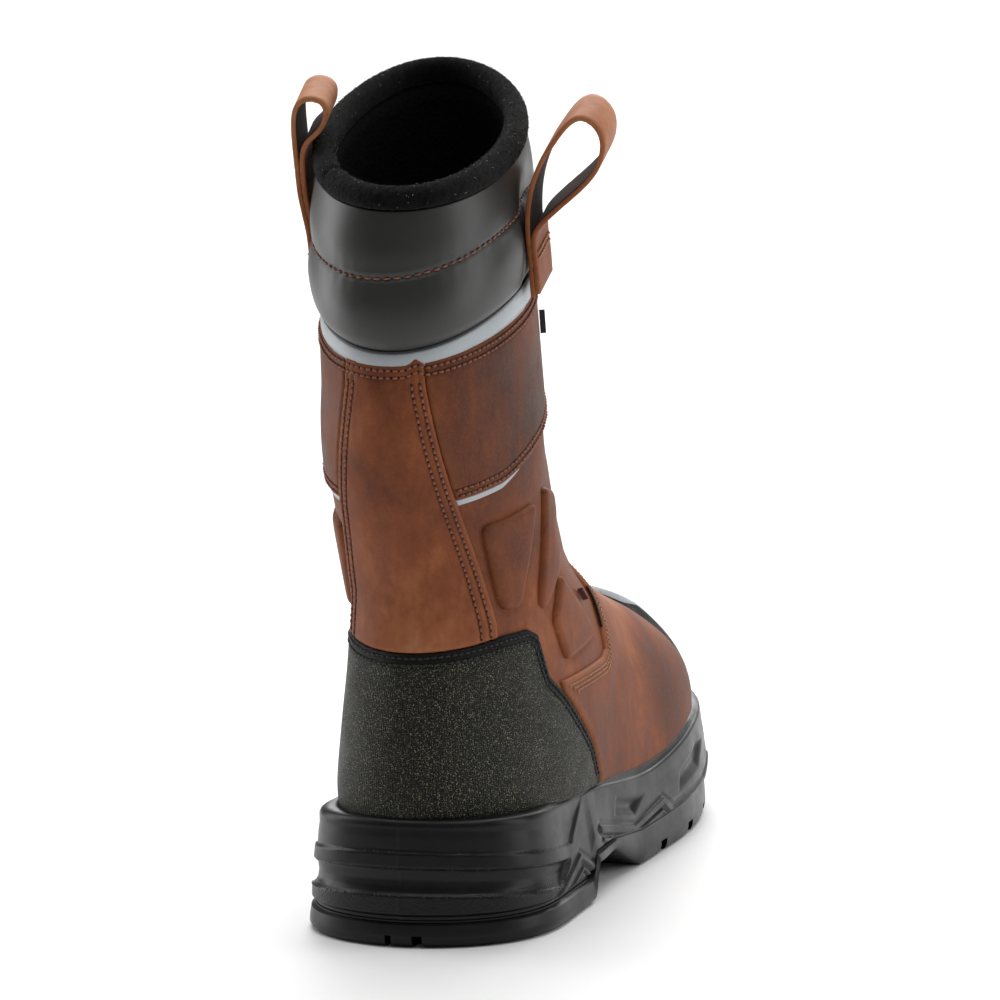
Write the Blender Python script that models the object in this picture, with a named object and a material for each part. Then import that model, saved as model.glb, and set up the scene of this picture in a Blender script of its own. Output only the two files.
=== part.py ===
# Rigger boot for the right foot: a hollow upper, a cup sole and the sewn pieces.
# x runs from heel to toe, y to the left and z up. Tables are in millimetres.
import bmesh
import bpy
import math
import numpy as np
from mathutils import Matrix

MM = 0.001
WALL = 2.2
GAP = 0.3
SEAT = 6.0
INSOLE_SHARE = 0.6
LIP_T = 0.036
CUFF_T = (0.818, 0.985)
BAND_T = (0.795, 0.8155)
PANEL_TOP_T = 0.793
OVERLAY = (0.32, 1.7)
PAD = (0.32, 2.4)
TOE_SLOPE = (0.10, 0.24)
TOE_RISE = 2.6
EPS = 1e-4

# Sections of the upper from the feather edge to the rim; t runs up the boot.
SECTION_COLUMNS = ("t", "z_back", "z_front", "x_back", "x_front", "heel", "waist", "ball", "toe",
                   "bend", "shift", "twist")
SECTIONS = np.array([
    (0.00, 43, 41, 10.0, 289.0, 66.0, 37.0, 51.0, 66.0, 1.00, 0.0, 0.0),
    (0.06, 53, 52, 7.5, 293.0, 67.0, 38.0, 51.0, 67.0, 1.00, 0.0, 0.0),
    (0.13, 67, 66, 8.0, 287.0, 64.0, 38.0, 46.5, 60.0, 0.95, 0.0, 0.0),
    (0.20, 83, 80, 11.0, 262.0, 59.0, 37.5, 40.5, 50.0, 0.85, 0.0, 0.0),
    (0.28, 100, 92.5, 15.5, 225.0, 53.0, 37.5, 38.0, 44.0, 0.60, 0.0, 0.0),
    (0.36, 118, 105.5, 19.0, 187.0, 47.5, 38.0, 38.5, 42.0, 0.40, 1.0, 1.0),
    (0.45, 136, 125, 16.5, 155.0, 43.0, 38.5, 39.0, 40.5, 0.25, 2.2, 3.0),
    (0.54, 156, 157, 9.0, 136.0, 41.0, 39.0, 39.0, 40.0, 0.10, 2.6, 4.5),
    (0.64, 180, 192, -1.0, 131.0, 40.0, 39.0, 39.0, 39.5, 0.00, 3.4, 6.0),
    (0.75, 208, 231, -5.5, 131.0, 38.5, 38.0, 38.0, 38.5, 0.00, 3.3, 7.5),
    (0.87, 242, 273, -4.0, 130.0, 37.3, 37.0, 37.0, 37.3, 0.00, 3.9, 9.0),
    (1.00, 283, 318, 0.0, 128.0, 34.4, 34.2, 34.2, 34.4, 0.00, 5.0, 12.0),
])
WIDTH_STATIONS = (0.0, 0.2, 0.45, 0.72, 1.0)

# Lines shared by every piece: angles round one side, and heights up the upper.
SIDE_DEG = (9, 18, 27, 36, 45, 54, 62.5, 65, 77, 89, 100, 111, 122, 133, 143, 153, 162, 171)
UPPER_T = (0.0, 0.04, 0.085, 0.13, 0.165, 0.20, 0.24, 0.28, 0.32, 0.36, 0.405, 0.45, 0.505, 0.56,
           0.62, 0.69, 0.75, 0.795, 0.818, 0.912, 0.985)

# Sole: outline sizes, lip height along x, and the underside and parting plane along x.
SOLE_BACK = 4.5
SOLE_FRONT = 302.0
SOLE_WIDTHS = {"heel": 92.0, "seat": 54.0, "waist": 41.5, "ball": 54.5, "toe": 70.0}
SOLE_HEEL_SHIFT = 0.3
LIP_COLUMNS = ("x", "z")
LIP = np.array([(0, 48), (60, 44.5), (110, 41), (165, 35.5), (195, 37.5), (240, 43), (308, 47.5)])
TREAD_COLUMNS = ("x", "floor", "split")
TREAD = np.array([
    (-10, 0, 10), (85, 0, 10), (90, 14, 18), (120, 13, 17.5), (151, 0, 14), (180, 0, 14),
    (234, 0, 14.5), (256, 0.5, 16), (274, 2.5, 18), (288, 5.5, 20.5), (310, 11, 24),
])

# Side of the cup sole: share of the height, then the growth past the outline at heel and forefoot,
# and the share of the chevron that the line follows.
SIDE_COLUMNS = ("share", "heel", "fore", "chevron")
SIDE = np.array([
    (0.00, 3.0, 0.8, 0.0), (0.06, 3.0, 0.8, 0.0), (0.08, 5.0, 2.4, 0.3), (0.27, 4.4, 2.8, 1.0),
    (0.30, 2.6, 1.0, 1.0), (0.42, 1.6, 0.4, 0.7), (0.53, 2.4, 0.8, 0.4), (0.55, 3.3, 1.8, 0.3),
    (0.68, 2.7, 1.6, 0.0), (0.71, 1.6, 0.6, 0.0), (0.95, 0.6, 0.0, 0.0), (1.00, -0.8, -1.0, 0.0),
])
CHEVRON = np.array([(45, 0), (66, 5), (85, 0), (151, 0), (179, 6), (207, 0), (234, 0), (256, 4), (275, 0)])
OUTSOLE_COLUMNS = ("rise", "heel", "fore")
OUTSOLE = np.array([(0.0, 3.6, 0.0), (2.6, 6.0, 1.6), (9.7, 4.6, 1.2)])
HEEL_TO_FORE = (90.0, 125.0)

# Gaps between the lugs: centre x, length along x, inner end, outer end, turn in degrees.
LUG_COLUMNS = ("x", "length", "inner", "outer", "turn")
LUGS = (
    (24, 7, 10, 33, -8), (48, 7, 10, 33, 0), (72, 7, 10, 33, 8), (183, 7, 17, 75, 14), (218, 7, 17, 75, 14),
    (249, 7, 17, 75, 14), (280, 7, 17, 75, 14),
)
LUG_DEPTH = 5.0

# Puffs of the cuff and the section of the collar roll, out from the upper and up along it.
CUFF_COLUMNS = ("t", "out")
CUFF = ((0.818, 1.6), (0.835, 4.6), (0.865, 6.4), (0.895, 6.6), (0.912, 5.0), (0.930, 6.2), (0.957, 5.6),
        (0.985, 4.6))
BINDING_OUTER = ((5.0, 0.5), (5.8, 4.6), (4.0, 8.0), (0.8, 9.4))
BINDING_INNER = ((-2.8, 0.5), (-3.3, 4.6), (-2.2, 8.0))

# Cut lines of the overlays, seen from the side as x and z.
COUNTER_LINE = ((-40, 107), (12, 108), (40, 112.5), (54, 112.5), (60, 109.5), (65, 92.5), (76, 83.5),
                (98, 61), (107.5, 46), (110, 30))
VAMP_REAR = ((111.4, 30), (108.9, 46.6), (99.3, 61.8), (77.2, 84.2), (75, 88.4), (126, 88), (133.5, 90),
             (136, 100), (142, 122), (190, 142))
TOE_EDGE = ((206, 142), (213, 98), (228, 88), (246, 78), (257, 66), (260, 52), (258, 30))
STRIPE_STEPS = (0.6, 7.2)
TOE_STEP = 7.8
PANEL_LINE = ((-40, 167), (12, 168), (35, 172), (60, 180), (90, 188), (115, 195), (160, 200))
STRIP_LINE = ((12, 168), (35, 172), (60, 180))
STRIP_WIDTH = 2.6
SIDE_PADS = {
    "rear": ((27, 156), (60.5, 160.5), (51, 121.5), (41, 122)),
    "mid": ((72, 164.5), (88, 160.5), (91, 144), (84, 130), (68, 117.5), (64, 121)),
    "front": ((86, 128.5), (75, 112), (83.5, 95), (119, 97.5), (115, 105.5), (106, 114)),
}

# Back stay seen from behind: height, right edge and left edge.
STAY_COLUMNS = ("z", "right", "left")
STAY = ((96, -29, 30), (117, -28, 29), (168, -22, 23), (213, -17, 14), (250, -15, 11))
STAY_REACH = (-60, 46)

# Pull loops as seen along the cuff: out from it, and up from the middle of the cuff.
LOOP_T = 0.9
LOOP_THETA = math.radians(86)
LOOP_WIDTH = 26.0
LOOP_THICK = 1.5
LOOP_PRESS = (0.45, 0.22)
LOOP_LEVELS = (232, 300)
LOOPS = {
    "right": ((0.8, -24.5), (0.8, -8), (0.8, 4), (3.2, 18), (8.4, 30), (12.8, 36.5), (17.6, 42.5),
              (22.8, 46.2), (27.8, 45), (31.4, 39.5), (31, 31.5), (26, 22.8), (16.4, 14), (7.2, 6),
              (2.7, -1), (2.6, -11), (2.6, -23)),
    "left": ((0.8, -20), (0.8, 0), (0.8, 18), (0.8, 31), (-1.4, 38), (-6, 42.5), (-9, 47.5),
             (-8.8, 53), (-4.2, 55.4), (0.6, 53.6), (2.9, 47.5), (3.2, 37), (2.8, 24), (2.6, 8), (2.6, -19)),
}

# Small plain tabs: angle, height share, start out from the upper, size along, out and up.
TAB_COLUMNS = ("name", "degrees", "t", "start", "along", "out", "up")
TABS = (("side_tab", 112, 0.738, 2.0, 1.2, 2.2, 9.0), ("instep_tab", 100, 0.368, 0.4, 1.2, 4.5, 7.0))

# Colours and roughness of the materials.
LEATHER = ("leather", (0.20, 0.075, 0.035), 0.55)
BLACK_CLOTH = ("black_woven", (0.022, 0.022, 0.020), 0.70)
SATIN = ("black_satin", (0.020, 0.020, 0.019), 0.35)
FUZZ = ("black_fuzz", (0.012, 0.012, 0.012), 0.95)
REFLECTIVE = ("reflective_grey", (0.42, 0.46, 0.48), 0.30)
RUBBER = ("black_rubber", (0.012, 0.012, 0.012), 0.38)
FELT = ("dark_felt", (0.03, 0.03, 0.03), 0.90)


def clear_scene():
    for item in list(bpy.data.objects):
        bpy.data.objects.remove(item, do_unlink=True)


# Curves and the form of the upper


def spline_bend(knots, values):
    """Second derivatives of the natural cubic spline through the rows."""
    step = np.diff(knots)[:, None]
    matrix = np.eye(len(knots))
    bend = np.zeros(values.shape)
    slope = np.diff(values, axis=0) / step
    for i in range(1, len(knots) - 1):
        matrix[i, i - 1:i + 2] = (step[i - 1, 0], 2 * (step[i - 1, 0] + step[i, 0]), step[i, 0])
        bend[i] = 6 * (slope[i] - slope[i - 1])
    return np.linalg.solve(matrix, bend)


def spline(knots, values, bend, at):
    """Values of the spline, one row for each entry of at."""
    i = np.clip(np.searchsorted(knots, at) - 1, 0, len(knots) - 2)
    h = (knots[i + 1] - knots[i])[..., None]
    a = (knots[i + 1] - at)[..., None] / h
    b = 1 - a
    curve = (a ** 3 - a) * bend[i] + (b ** 3 - b) * bend[i + 1]
    return a * values[i] + b * values[i + 1] + curve * h * h / 6


SECTION_BEND = spline_bend(SECTIONS[:, 0], SECTIONS)
LIP_BEND = spline_bend(LIP[:, 0], LIP)


def section(t):
    values = spline(SECTIONS[:, 0], SECTIONS, SECTION_BEND, t)
    return {name: values[..., i] for i, name in enumerate(SECTION_COLUMNS)}


def lip_height(x):
    return spline(LIP[:, 0], LIP, LIP_BEND, x)[..., 1]


def tread(x, column):
    return np.interp(x, TREAD[:, 0], TREAD[:, TREAD_COLUMNS.index(column)])


def smooth_step(value, low, high):
    s = np.clip((value - low) / (high - low), 0, 1)
    return s * s * (3 - 2 * s)


def width_share(widths, f):
    """Smooth half-width factor along the foot, from the heel, waist, ball and toe widths."""
    seat = widths.get("seat", 0.5 * (widths["heel"] + widths["waist"]))
    values = [widths["heel"], seat, widths["waist"], widths["ball"], widths["toe"]]
    values = [np.broadcast_to(value, f.shape) for value in values]
    step = np.diff(WIDTH_STATIONS)
    rise = [(values[i + 1] - values[i]) / step[i] for i in range(4)]
    slope = [rise[0]] + [0.5 * (rise[i] + rise[i + 1]) for i in range(3)] + [rise[3]]
    result = np.zeros(f.shape)
    for i in range(4):
        s = np.clip((f - WIDTH_STATIONS[i]) / step[i], 0, 1)
        inside = (f >= WIDTH_STATIONS[i]) & ((f < WIDTH_STATIONS[i + 1]) | (i == 3))
        blend = s * s * (3 - 2 * s)
        curve = s * (1 - s) ** 2 * slope[i] - s * s * (1 - s) * slope[i + 1]
        result = np.where(inside, values[i] + (values[i + 1] - values[i]) * blend + curve * step[i], result)
    return result


def centre_line(f):
    return 11.0 * f ** 3 - 5.0 * np.exp(-((f - 0.45) / 0.18) ** 2)


def boot_point(theta, t):
    """Outside of the upper; theta 0 is the back, pi the toe, and the right side comes first."""
    theta, t = np.broadcast_arrays(np.asarray(theta, float), np.asarray(t, float))
    row = section(t)
    f = 0.5 * (1 - np.cos(theta))
    x = row["x_back"] + (row["x_front"] - row["x_back"]) * f
    y = centre_line(f) * row["bend"] - np.sin(theta) * width_share(row, f)
    top = smooth_step(t, 0.75, 1.0)
    rise = f + 0.1 * top * (f ** 4 - f)
    feather_x = SECTIONS[0, 3] + (SECTIONS[0, 4] - SECTIONS[0, 3]) * f
    feather = lip_height(feather_x) - SEAT - (SECTIONS[0, 1] + (SECTIONS[0, 2] - SECTIONS[0, 1]) * f)
    z = row["z_back"] + (row["z_front"] - row["z_back"]) * rise
    z = z + feather * np.clip(1 - t / 0.2, 0, 1) ** 2
    middle = 0.5 * (row["x_back"] + row["x_front"])
    turn = np.radians(row["twist"])
    turned_x = middle + (x - middle) * np.cos(turn) - y * np.sin(turn)
    turned_y = (x - middle) * np.sin(turn) + y * np.cos(turn) + row["shift"]
    return np.stack([turned_x, turned_y, z], axis=-1)


def unit(vectors):
    return vectors / np.linalg.norm(vectors, axis=-1, keepdims=True)


def boot_normal(theta, t):
    theta = np.asarray(theta, float)
    t = np.asarray(t, float)
    around = boot_point(theta + EPS, t) - boot_point(theta - EPS, t)
    along = boot_point(theta, t + EPS) - boot_point(theta, t - EPS)
    return unit(np.cross(around, along))


def flat_normal(t):
    """Outward direction round the ring, without its rise."""
    return unit(boot_normal(ANGLES, t) * (1, 1, 0))


def skin(theta, t, out):
    return boot_point(theta, t) + boot_normal(theta, t) * out


def ring_angles():
    right = [math.radians(angle) for angle in SIDE_DEG]
    left = [2 * math.pi - angle for angle in reversed(right)]
    return np.array([0.0] + right + [math.pi] + left)


ANGLES = ring_angles()


def sole_ring(grow):
    """Outline of the sole seen from above, grown outwards by grow at each angle."""
    def outline(theta):
        f = 0.5 * (1 - np.cos(theta))
        x = SOLE_BACK + (SOLE_FRONT - SOLE_BACK) * f
        middle = centre_line(f) + SOLE_HEEL_SHIFT * (1 - smooth_step(f, 0.1, 0.45))
        return np.stack([x, middle - np.sin(theta) * width_share(SOLE_WIDTHS, f)], axis=-1)
    along = unit(outline(ANGLES + EPS) - outline(ANGLES - EPS))
    outward = np.stack([along[:, 1], -along[:, 0]], axis=-1)
    return outline(ANGLES) + outward * np.asarray(grow)[..., None]


# Solids


def make_material(finish):
    name, colour, roughness = finish
    material = bpy.data.materials.get(name)
    if material:
        return material
    material = bpy.data.materials.new(name)
    material.use_nodes = True
    shader = material.node_tree.nodes["Principled BSDF"]
    shader.inputs["Base Color"].default_value = (*colour, 1.0)
    shader.inputs["Roughness"].default_value = roughness
    return material


def make_solid(name, points, faces, finish):
    """A closed solid from points in millimetres; the faces are turned outwards."""
    mesh = bpy.data.meshes.new(name)
    mesh.from_pydata([tuple(point) for point in np.asarray(points) * MM], [], faces)
    form = bmesh.new()
    form.from_mesh(mesh)
    bmesh.ops.recalc_face_normals(form, faces=form.faces)
    form.to_mesh(mesh)
    form.free()
    mesh.materials.append(make_material(finish))
    item = bpy.data.objects.new(name, mesh)
    bpy.context.scene.collection.objects.link(item)
    return item


def quad(a, b, c, d):
    return [(a, b, c), (a, c, d)]


def band_faces(low, high, count):
    faces = []
    for i in range(count):
        j = (i + 1) % count
        faces += quad(low + i, low + j, high + j, high + i)
    return faces


def cap_faces(start, count):
    """Closes a ring with strips from each point to the one across the foot."""
    faces = []
    for i in range(count // 2):
        ring = [i, i + 1, (count - i - 1) % count, (count - i) % count]
        ring = [start + index for k, index in enumerate(ring) if index not in ring[:k]]
        faces += quad(*ring) if len(ring) == 4 else [tuple(ring)]
    return faces


def wrapped_solid(name, outer, inner, finish):
    """A hollow band from rings up the outside and rings up the inside."""
    count = len(outer[0])
    faces = []
    start = 0
    for rings in (outer, inner):
        for k in range(len(rings) - 1):
            faces += band_faces(start + k * count, start + (k + 1) * count, count)
        start += len(rings) * count
    split = len(outer) * count
    faces += band_faces(0, split, count)
    faces += band_faces(split - count, start - count, count)
    return make_solid(name, np.concatenate(outer + inner), faces, finish)


def capped_solid(name, rings, finish):
    """A filled form: the first and the last ring are closed across."""
    count = len(rings[0])
    faces = cap_faces(0, count) + cap_faces((len(rings) - 1) * count, count)
    for k in range(len(rings) - 1):
        faces += band_faces(k * count, (k + 1) * count, count)
    return make_solid(name, np.concatenate(rings), faces, finish)


def skin_rings(heights, out):
    return [skin(ANGLES, t, out) for t in heights]


def skin_band(name, heights, outs, finish):
    return wrapped_solid(name, skin_rings(heights, outs[1]), skin_rings(heights, outs[0]), finish)


# Cutting overlays from the upper's own form


def prism(line, axis, low, high):
    """A cutter from a line in side view (axis 1) or in back view (axis 0)."""
    count = len(line)
    points = []
    for reach in (low, high):
        for across, z in line:
            points.append((across, reach, z) if axis == 1 else (reach, across, z))
    faces = [tuple(range(count)), tuple(range(count, 2 * count))]
    for i in range(count):
        j = (i + 1) % count
        faces.append((i, j, count + j, count + i))
    return make_solid("cutter", points, faces, FELT)


def cut(item, cutter, operation):
    cutter.hide_render = True
    cutter.display_type = "WIRE"
    modifier = item.modifiers.new("cut", "BOOLEAN")
    modifier.operation = operation
    modifier.solver = "EXACT"
    modifier.object = cutter
    graph = bpy.context.evaluated_depsgraph_get()
    result = bpy.data.meshes.new_from_object(item.evaluated_get(graph))
    item.modifiers.clear()
    item.data = result
    bpy.data.objects.remove(cutter, do_unlink=True)
    return item


def heights_between(low, high):
    inner = [t for t in UPPER_T if low < t < high]
    return [low] + inner + [high]


def stay_cutter(margin):
    right = [(row[1] - margin, row[0]) for row in STAY]
    left = [(row[2] + margin, row[0]) for row in reversed(STAY)]
    return prism(right + left, 0, *STAY_REACH)


def counter_cutter(margin):
    line = [(x + margin, z + margin) for x, z in COUNTER_LINE]
    return prism(line + [(-40, 30)], 1, -120, 120)


def make_counter():
    item = skin_band("heel_counter", heights_between(0.04, 0.36), OVERLAY, BLACK_CLOTH)
    return cut(item, counter_cutter(0), "INTERSECT")


def make_stay():
    item = skin_band("back_stay", heights_between(0.28, PANEL_TOP_T), OVERLAY, LEATHER)
    cut(item, stay_cutter(0), "INTERSECT")
    return cut(item, counter_cutter(0.5), "DIFFERENCE")


def make_panel():
    item = skin_band("shaft_panel", heights_between(0.56, PANEL_TOP_T), OVERLAY, LEATHER)
    cut(item, prism(PANEL_LINE + ((160, 260), (-40, 260)), 1, -120, 120), "INTERSECT")
    return cut(item, stay_cutter(0.5), "DIFFERENCE")


def make_vamp():
    item = skin_band("vamp", heights_between(0.04, 0.505), OVERLAY, LEATHER)
    return cut(item, prism(VAMP_REAR + TOE_EDGE, 1, -120, 120), "INTERSECT")


def raised_band(name, heights, rise, finish):
    """A band that grows thicker towards the top of the toe."""
    outer = [skin(ANGLES, t, OVERLAY[1] + rise * smooth_step(t, *TOE_SLOPE)) for t in heights]
    return wrapped_solid(name, outer, skin_rings(heights, OVERLAY[0]), finish)


def moved(line, step):
    return tuple((x + step, z) for x, z in line)


def make_toe_pieces():
    near, far = (moved(TOE_EDGE, step) for step in STRIPE_STEPS)
    stripe = raised_band("toe_stripe", heights_between(0.04, 0.36), 0.5 * TOE_RISE, REFLECTIVE)
    cut(stripe, prism(near + far[::-1], 1, -120, 120), "INTERSECT")
    cap = raised_band("toe_cap", heights_between(0.04, 0.32), TOE_RISE, BLACK_CLOTH)
    cut(cap, prism(moved(TOE_EDGE, TOE_STEP) + ((330, 30), (330, 142)), 1, -120, 120), "INTERSECT")


def make_side_pieces():
    for side, reach in (("right", (-120, -8)), ("left", (8, 120))):
        for place, line in SIDE_PADS.items():
            pad = skin_band("ankle_pad_" + place + "_" + side, heights_between(0.20, 0.62), PAD, LEATHER)
            cut(pad, prism(line, 1, *reach), "INTERSECT")
            cut(pad, stay_cutter(0.6), "DIFFERENCE")
        low = [(x, z - 0.5 - STRIP_WIDTH) for x, z in STRIP_LINE]
        high = [(x, z - 0.5) for x, z in reversed(STRIP_LINE)]
        strip = skin_band("edge_strip_" + side, heights_between(0.505, 0.69), OVERLAY, REFLECTIVE)
        cut(strip, prism(low + high, 1, *reach), "INTERSECT")
        cut(strip, stay_cutter(0.5), "DIFFERENCE")


# Upper, cuff, band and collar


def upper_inside():
    """Rings of the inside; the lowest stands level with the feather edge."""
    rings = skin_rings(UPPER_T, -WALL)
    rings[0][:, 2] = boot_point(ANGLES, 0.0)[:, 2]
    return rings


def make_upper():
    wrapped_solid("upper", skin_rings(UPPER_T, 0.0), upper_inside(), LEATHER)
    skin_band("reflective_band", BAND_T, (GAP, GAP + 1.1), REFLECTIVE)


def cuff_out(theta, t, out):
    """The padding, pressed in where the pull loops are sewn on."""
    deep, wide = LOOP_PRESS
    sides = np.minimum(np.abs(theta - LOOP_THETA), np.abs(theta - 2 * math.pi + LOOP_THETA))
    sewn = 1 - smooth_step(np.asarray(t), CUFF[4][0], CUFF[6][0])
    return out * (1 - deep * sewn * np.exp(-(sides / wide) ** 2))


def cuff_ring(theta, t, out):
    return boot_point(theta, t) + boot_normal(theta, t) * cuff_out(theta, t, out)[:, None]


def make_cuff():
    outer = [cuff_ring(ANGLES, t, out) for t, out in CUFF]
    inner = skin_rings(heights_between(*CUFF_T), GAP)
    wrapped_solid("cuff", outer, inner, SATIN)


def make_binding():
    rim = boot_point(ANGLES, CUFF_T[1])
    outward = boot_normal(ANGLES, CUFF_T[1])
    along = unit(boot_point(ANGLES, CUFF_T[1] + EPS) - rim)
    outer = [rim + outward * out + along * up for out, up in BINDING_OUTER]
    inner = [rim + outward * out + along * up for out, up in BINDING_INNER]
    wrapped_solid("collar_binding", outer, inner, FUZZ)


# Sole


def heel_mix(x, heel, fore):
    return heel + (fore - heel) * smooth_step(x, *HEEL_TO_FORE)


def side_ring(row):
    """One line round the side of the cup sole, from its row in the table."""
    share, heel, fore, chevron = row
    x = sole_ring(np.zeros(len(ANGLES)))[:, 0]
    flat = sole_ring(heel_mix(x, heel, fore))
    low = tread(x, "split") + GAP
    z = low + (lip_height(x) - low) * share + chevron * np.interp(x, CHEVRON[:, 0], CHEVRON[:, 1])
    return np.column_stack([flat, z])


def make_midsole():
    rings = [side_ring(row) for row in SIDE]
    rings.append(skin(ANGLES, LIP_T, GAP + 0.05))
    rings.append(boot_point(ANGLES, 0.0) + flat_normal(0.0) * (GAP + 0.05) - (0, 0, GAP))
    capped_solid("midsole", rings, RUBBER)


def make_insole():
    wall = upper_inside()
    inward = flat_normal(0.0) * -(GAP + 0.1)
    low = wall[0] + inward
    high = wall[0] + (wall[1] - wall[0]) * INSOLE_SHARE + inward
    capped_solid("insole", [low, high], FELT)


def box_faces(start):
    sides = [(0, 1, 2, 3), (7, 6, 5, 4), (0, 4, 5, 1), (1, 5, 6, 2), (2, 6, 7, 3), (3, 7, 4, 0)]
    return [tuple(start + index for index in side) for side in sides]


def lug_cutter():
    """All gaps between the lugs as one set of boxes, turned like chevrons."""
    points = []
    faces = []
    for x, length, inner, outer, turn in LUGS:
        for side in (-1, 1):
            high = float(tread(x, "floor")) + LUG_DEPTH
            slope = math.tan(math.radians(turn))
            faces += box_faces(len(points))
            for z in (-5.0, high):
                for along, across in ((-1, inner), (1, inner), (1, outer), (-1, outer)):
                    points.append((x + along * length / 2 - slope * (across - inner), side * across, z))
    return make_solid("cutter", points, faces, RUBBER)


def make_outsole():
    x = sole_ring(np.zeros(len(ANGLES)))[:, 0]
    rings = []
    for rise, heel, fore in OUTSOLE:
        height = tread(x, "split") - tread(x, "floor")
        z = tread(x, "floor") + np.minimum(rise, height) if rise < 9 else tread(x, "split")
        rings.append(np.column_stack([sole_ring(heel_mix(x, heel, fore)), z]))
    item = capped_solid("outsole", rings, RUBBER)
    cut(item, lug_cutter(), "DIFFERENCE")


# Pull loops and tabs


def cuff_reach(theta, along, outward):
    """How far the cuff stands out at the place of a loop."""
    near = np.linspace(theta - 0.3, theta + 0.3, 25)
    near = np.concatenate([near, ANGLES[np.abs(ANGLES - theta) < 0.5]])
    places = np.array([cuff_ring(near, t, out) for t, out in CUFF]).reshape(-1, 3)
    middle = boot_point(theta, LOOP_T)
    beside = np.abs((places - middle) @ along) < LOOP_WIDTH / 2 + 2
    level = (places[:, 2] > LOOP_LEVELS[0]) & (places[:, 2] < LOOP_LEVELS[1])
    return ((places - middle) @ outward)[beside & level].max()


def make_loop(side, path):
    """A strap folded over; its width follows the slope of the collar."""
    theta = LOOP_THETA if side == "right" else 2 * math.pi - LOOP_THETA
    along = unit(boot_point(theta + EPS, LOOP_T) - boot_point(theta - EPS, LOOP_T))
    outward = boot_normal(theta, LOOP_T) * (1, 1, 0)
    outward = unit(outward - along * (outward @ along))
    upward = np.cross(outward, along)
    base = boot_point(theta, LOOP_T) + outward * (cuff_reach(theta, along, outward) + GAP)
    line = np.array([base + outward * out + upward * up for out, up in path])
    run = unit(np.gradient(line, axis=0))
    thick = unit(np.cross(run, along)) * LOOP_THICK / 2
    wide = along * LOOP_WIDTH / 2
    corners = (thick - wide, thick + wide, wide - thick, -thick - wide)
    rings = np.stack([line + corner for corner in corners], axis=1)
    faces = [(0, 1, 2, 3), tuple(4 * (len(line) - 1) + k for k in range(4))]
    for k in range(len(line) - 1):
        faces += band_faces(4 * k, 4 * k + 4, 4)
    make_solid("pull_loop_" + side, rings.reshape(-1, 3), faces, LEATHER)


def make_tab(name, degrees, t, start, along, out, up):
    theta = math.radians(degrees)
    outward = boot_normal(theta, t)
    upward = unit(boot_point(theta, t + EPS) - boot_point(theta, t))
    across = np.cross(upward, outward)
    base = boot_point(theta, t) + outward * start
    points = []
    for height in (0.0, up):
        for reach, offset in ((0, 0), (out, 0), (out, along), (0, along)):
            points.append(base + outward * reach + across * offset + upward * height)
    make_solid(name, points, box_faces(0), BLACK_CLOTH)


def centre_on_floor():
    """Moves the finished boot so that its box stands centred on the origin."""
    parts = [item for item in bpy.data.objects if item.type == "MESH"]
    corners = np.concatenate([[vertex.co for vertex in item.data.vertices] for item in parts])
    low = corners.min(axis=0)
    high = corners.max(axis=0)
    shift = (-(low[0] + high[0]) / 2, -(low[1] + high[1]) / 2, -low[2])
    for item in parts:
        item.data.transform(Matrix.Translation(shift))


def build():
    clear_scene()
    make_outsole()
    make_midsole()
    make_insole()
    make_upper()
    make_vamp()
    make_toe_pieces()
    make_counter()
    make_stay()
    make_panel()
    make_side_pieces()
    make_cuff()
    make_binding()
    for side, path in LOOPS.items():
        make_loop(side, path)
    for row in TABS:
        make_tab(*row)
    centre_on_floor()


build()
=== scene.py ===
# Rigger boot for the right foot: fine surfaces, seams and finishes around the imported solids.
# Tables are in millimetres: x runs from heel to toe, y to the left and z up.
import math

import bmesh
import bpy
import numpy as np
from mathutils import Matrix


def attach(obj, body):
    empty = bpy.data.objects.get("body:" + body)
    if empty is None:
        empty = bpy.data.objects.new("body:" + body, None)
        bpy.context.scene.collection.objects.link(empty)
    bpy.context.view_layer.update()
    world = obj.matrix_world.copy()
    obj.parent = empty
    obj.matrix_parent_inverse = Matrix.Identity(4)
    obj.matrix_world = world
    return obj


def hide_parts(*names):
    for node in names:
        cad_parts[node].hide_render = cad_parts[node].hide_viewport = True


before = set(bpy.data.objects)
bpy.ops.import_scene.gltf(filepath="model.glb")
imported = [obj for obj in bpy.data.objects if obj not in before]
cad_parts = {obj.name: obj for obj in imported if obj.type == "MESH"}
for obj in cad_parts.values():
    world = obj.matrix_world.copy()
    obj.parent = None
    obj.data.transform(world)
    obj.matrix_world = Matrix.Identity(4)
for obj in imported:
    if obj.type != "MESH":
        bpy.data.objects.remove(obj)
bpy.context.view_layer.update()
DRAW = np.random.default_rng(7)

MM = 0.001
SHIFT = np.array([-147.5306, 8.4565, 0.0])
PI = math.pi
EPS = 1e-4

# Heights as shares t of the run up the boot, T_LENGTH long; thicknesses, rises and gaps.
WALL = 2.2
GAP = 0.3
CUT_GAP = 0.2
PAD_GAP = 0.6
SEAT = 6.0
LIP_T = 0.036
CUFF_T = (0.818, 0.985)
BAND_TOP_T = 0.8155
PANEL_TOP_T = 0.793
PANEL_LIFT = (0.0072, 0.005)
CUFF_LIFT = 0.018
STAY_FOLD = (0.215, 0.045, 0.007)
THICK = 1.7
PAD_HIGH = 1.9
PAD_CORNER = 3.5
TOE_SLOPE = (0.10, 0.24)
TOE_RISE = 3.0
TOE_RAMP = 3.6
T_LENGTH = 265.0

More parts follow.
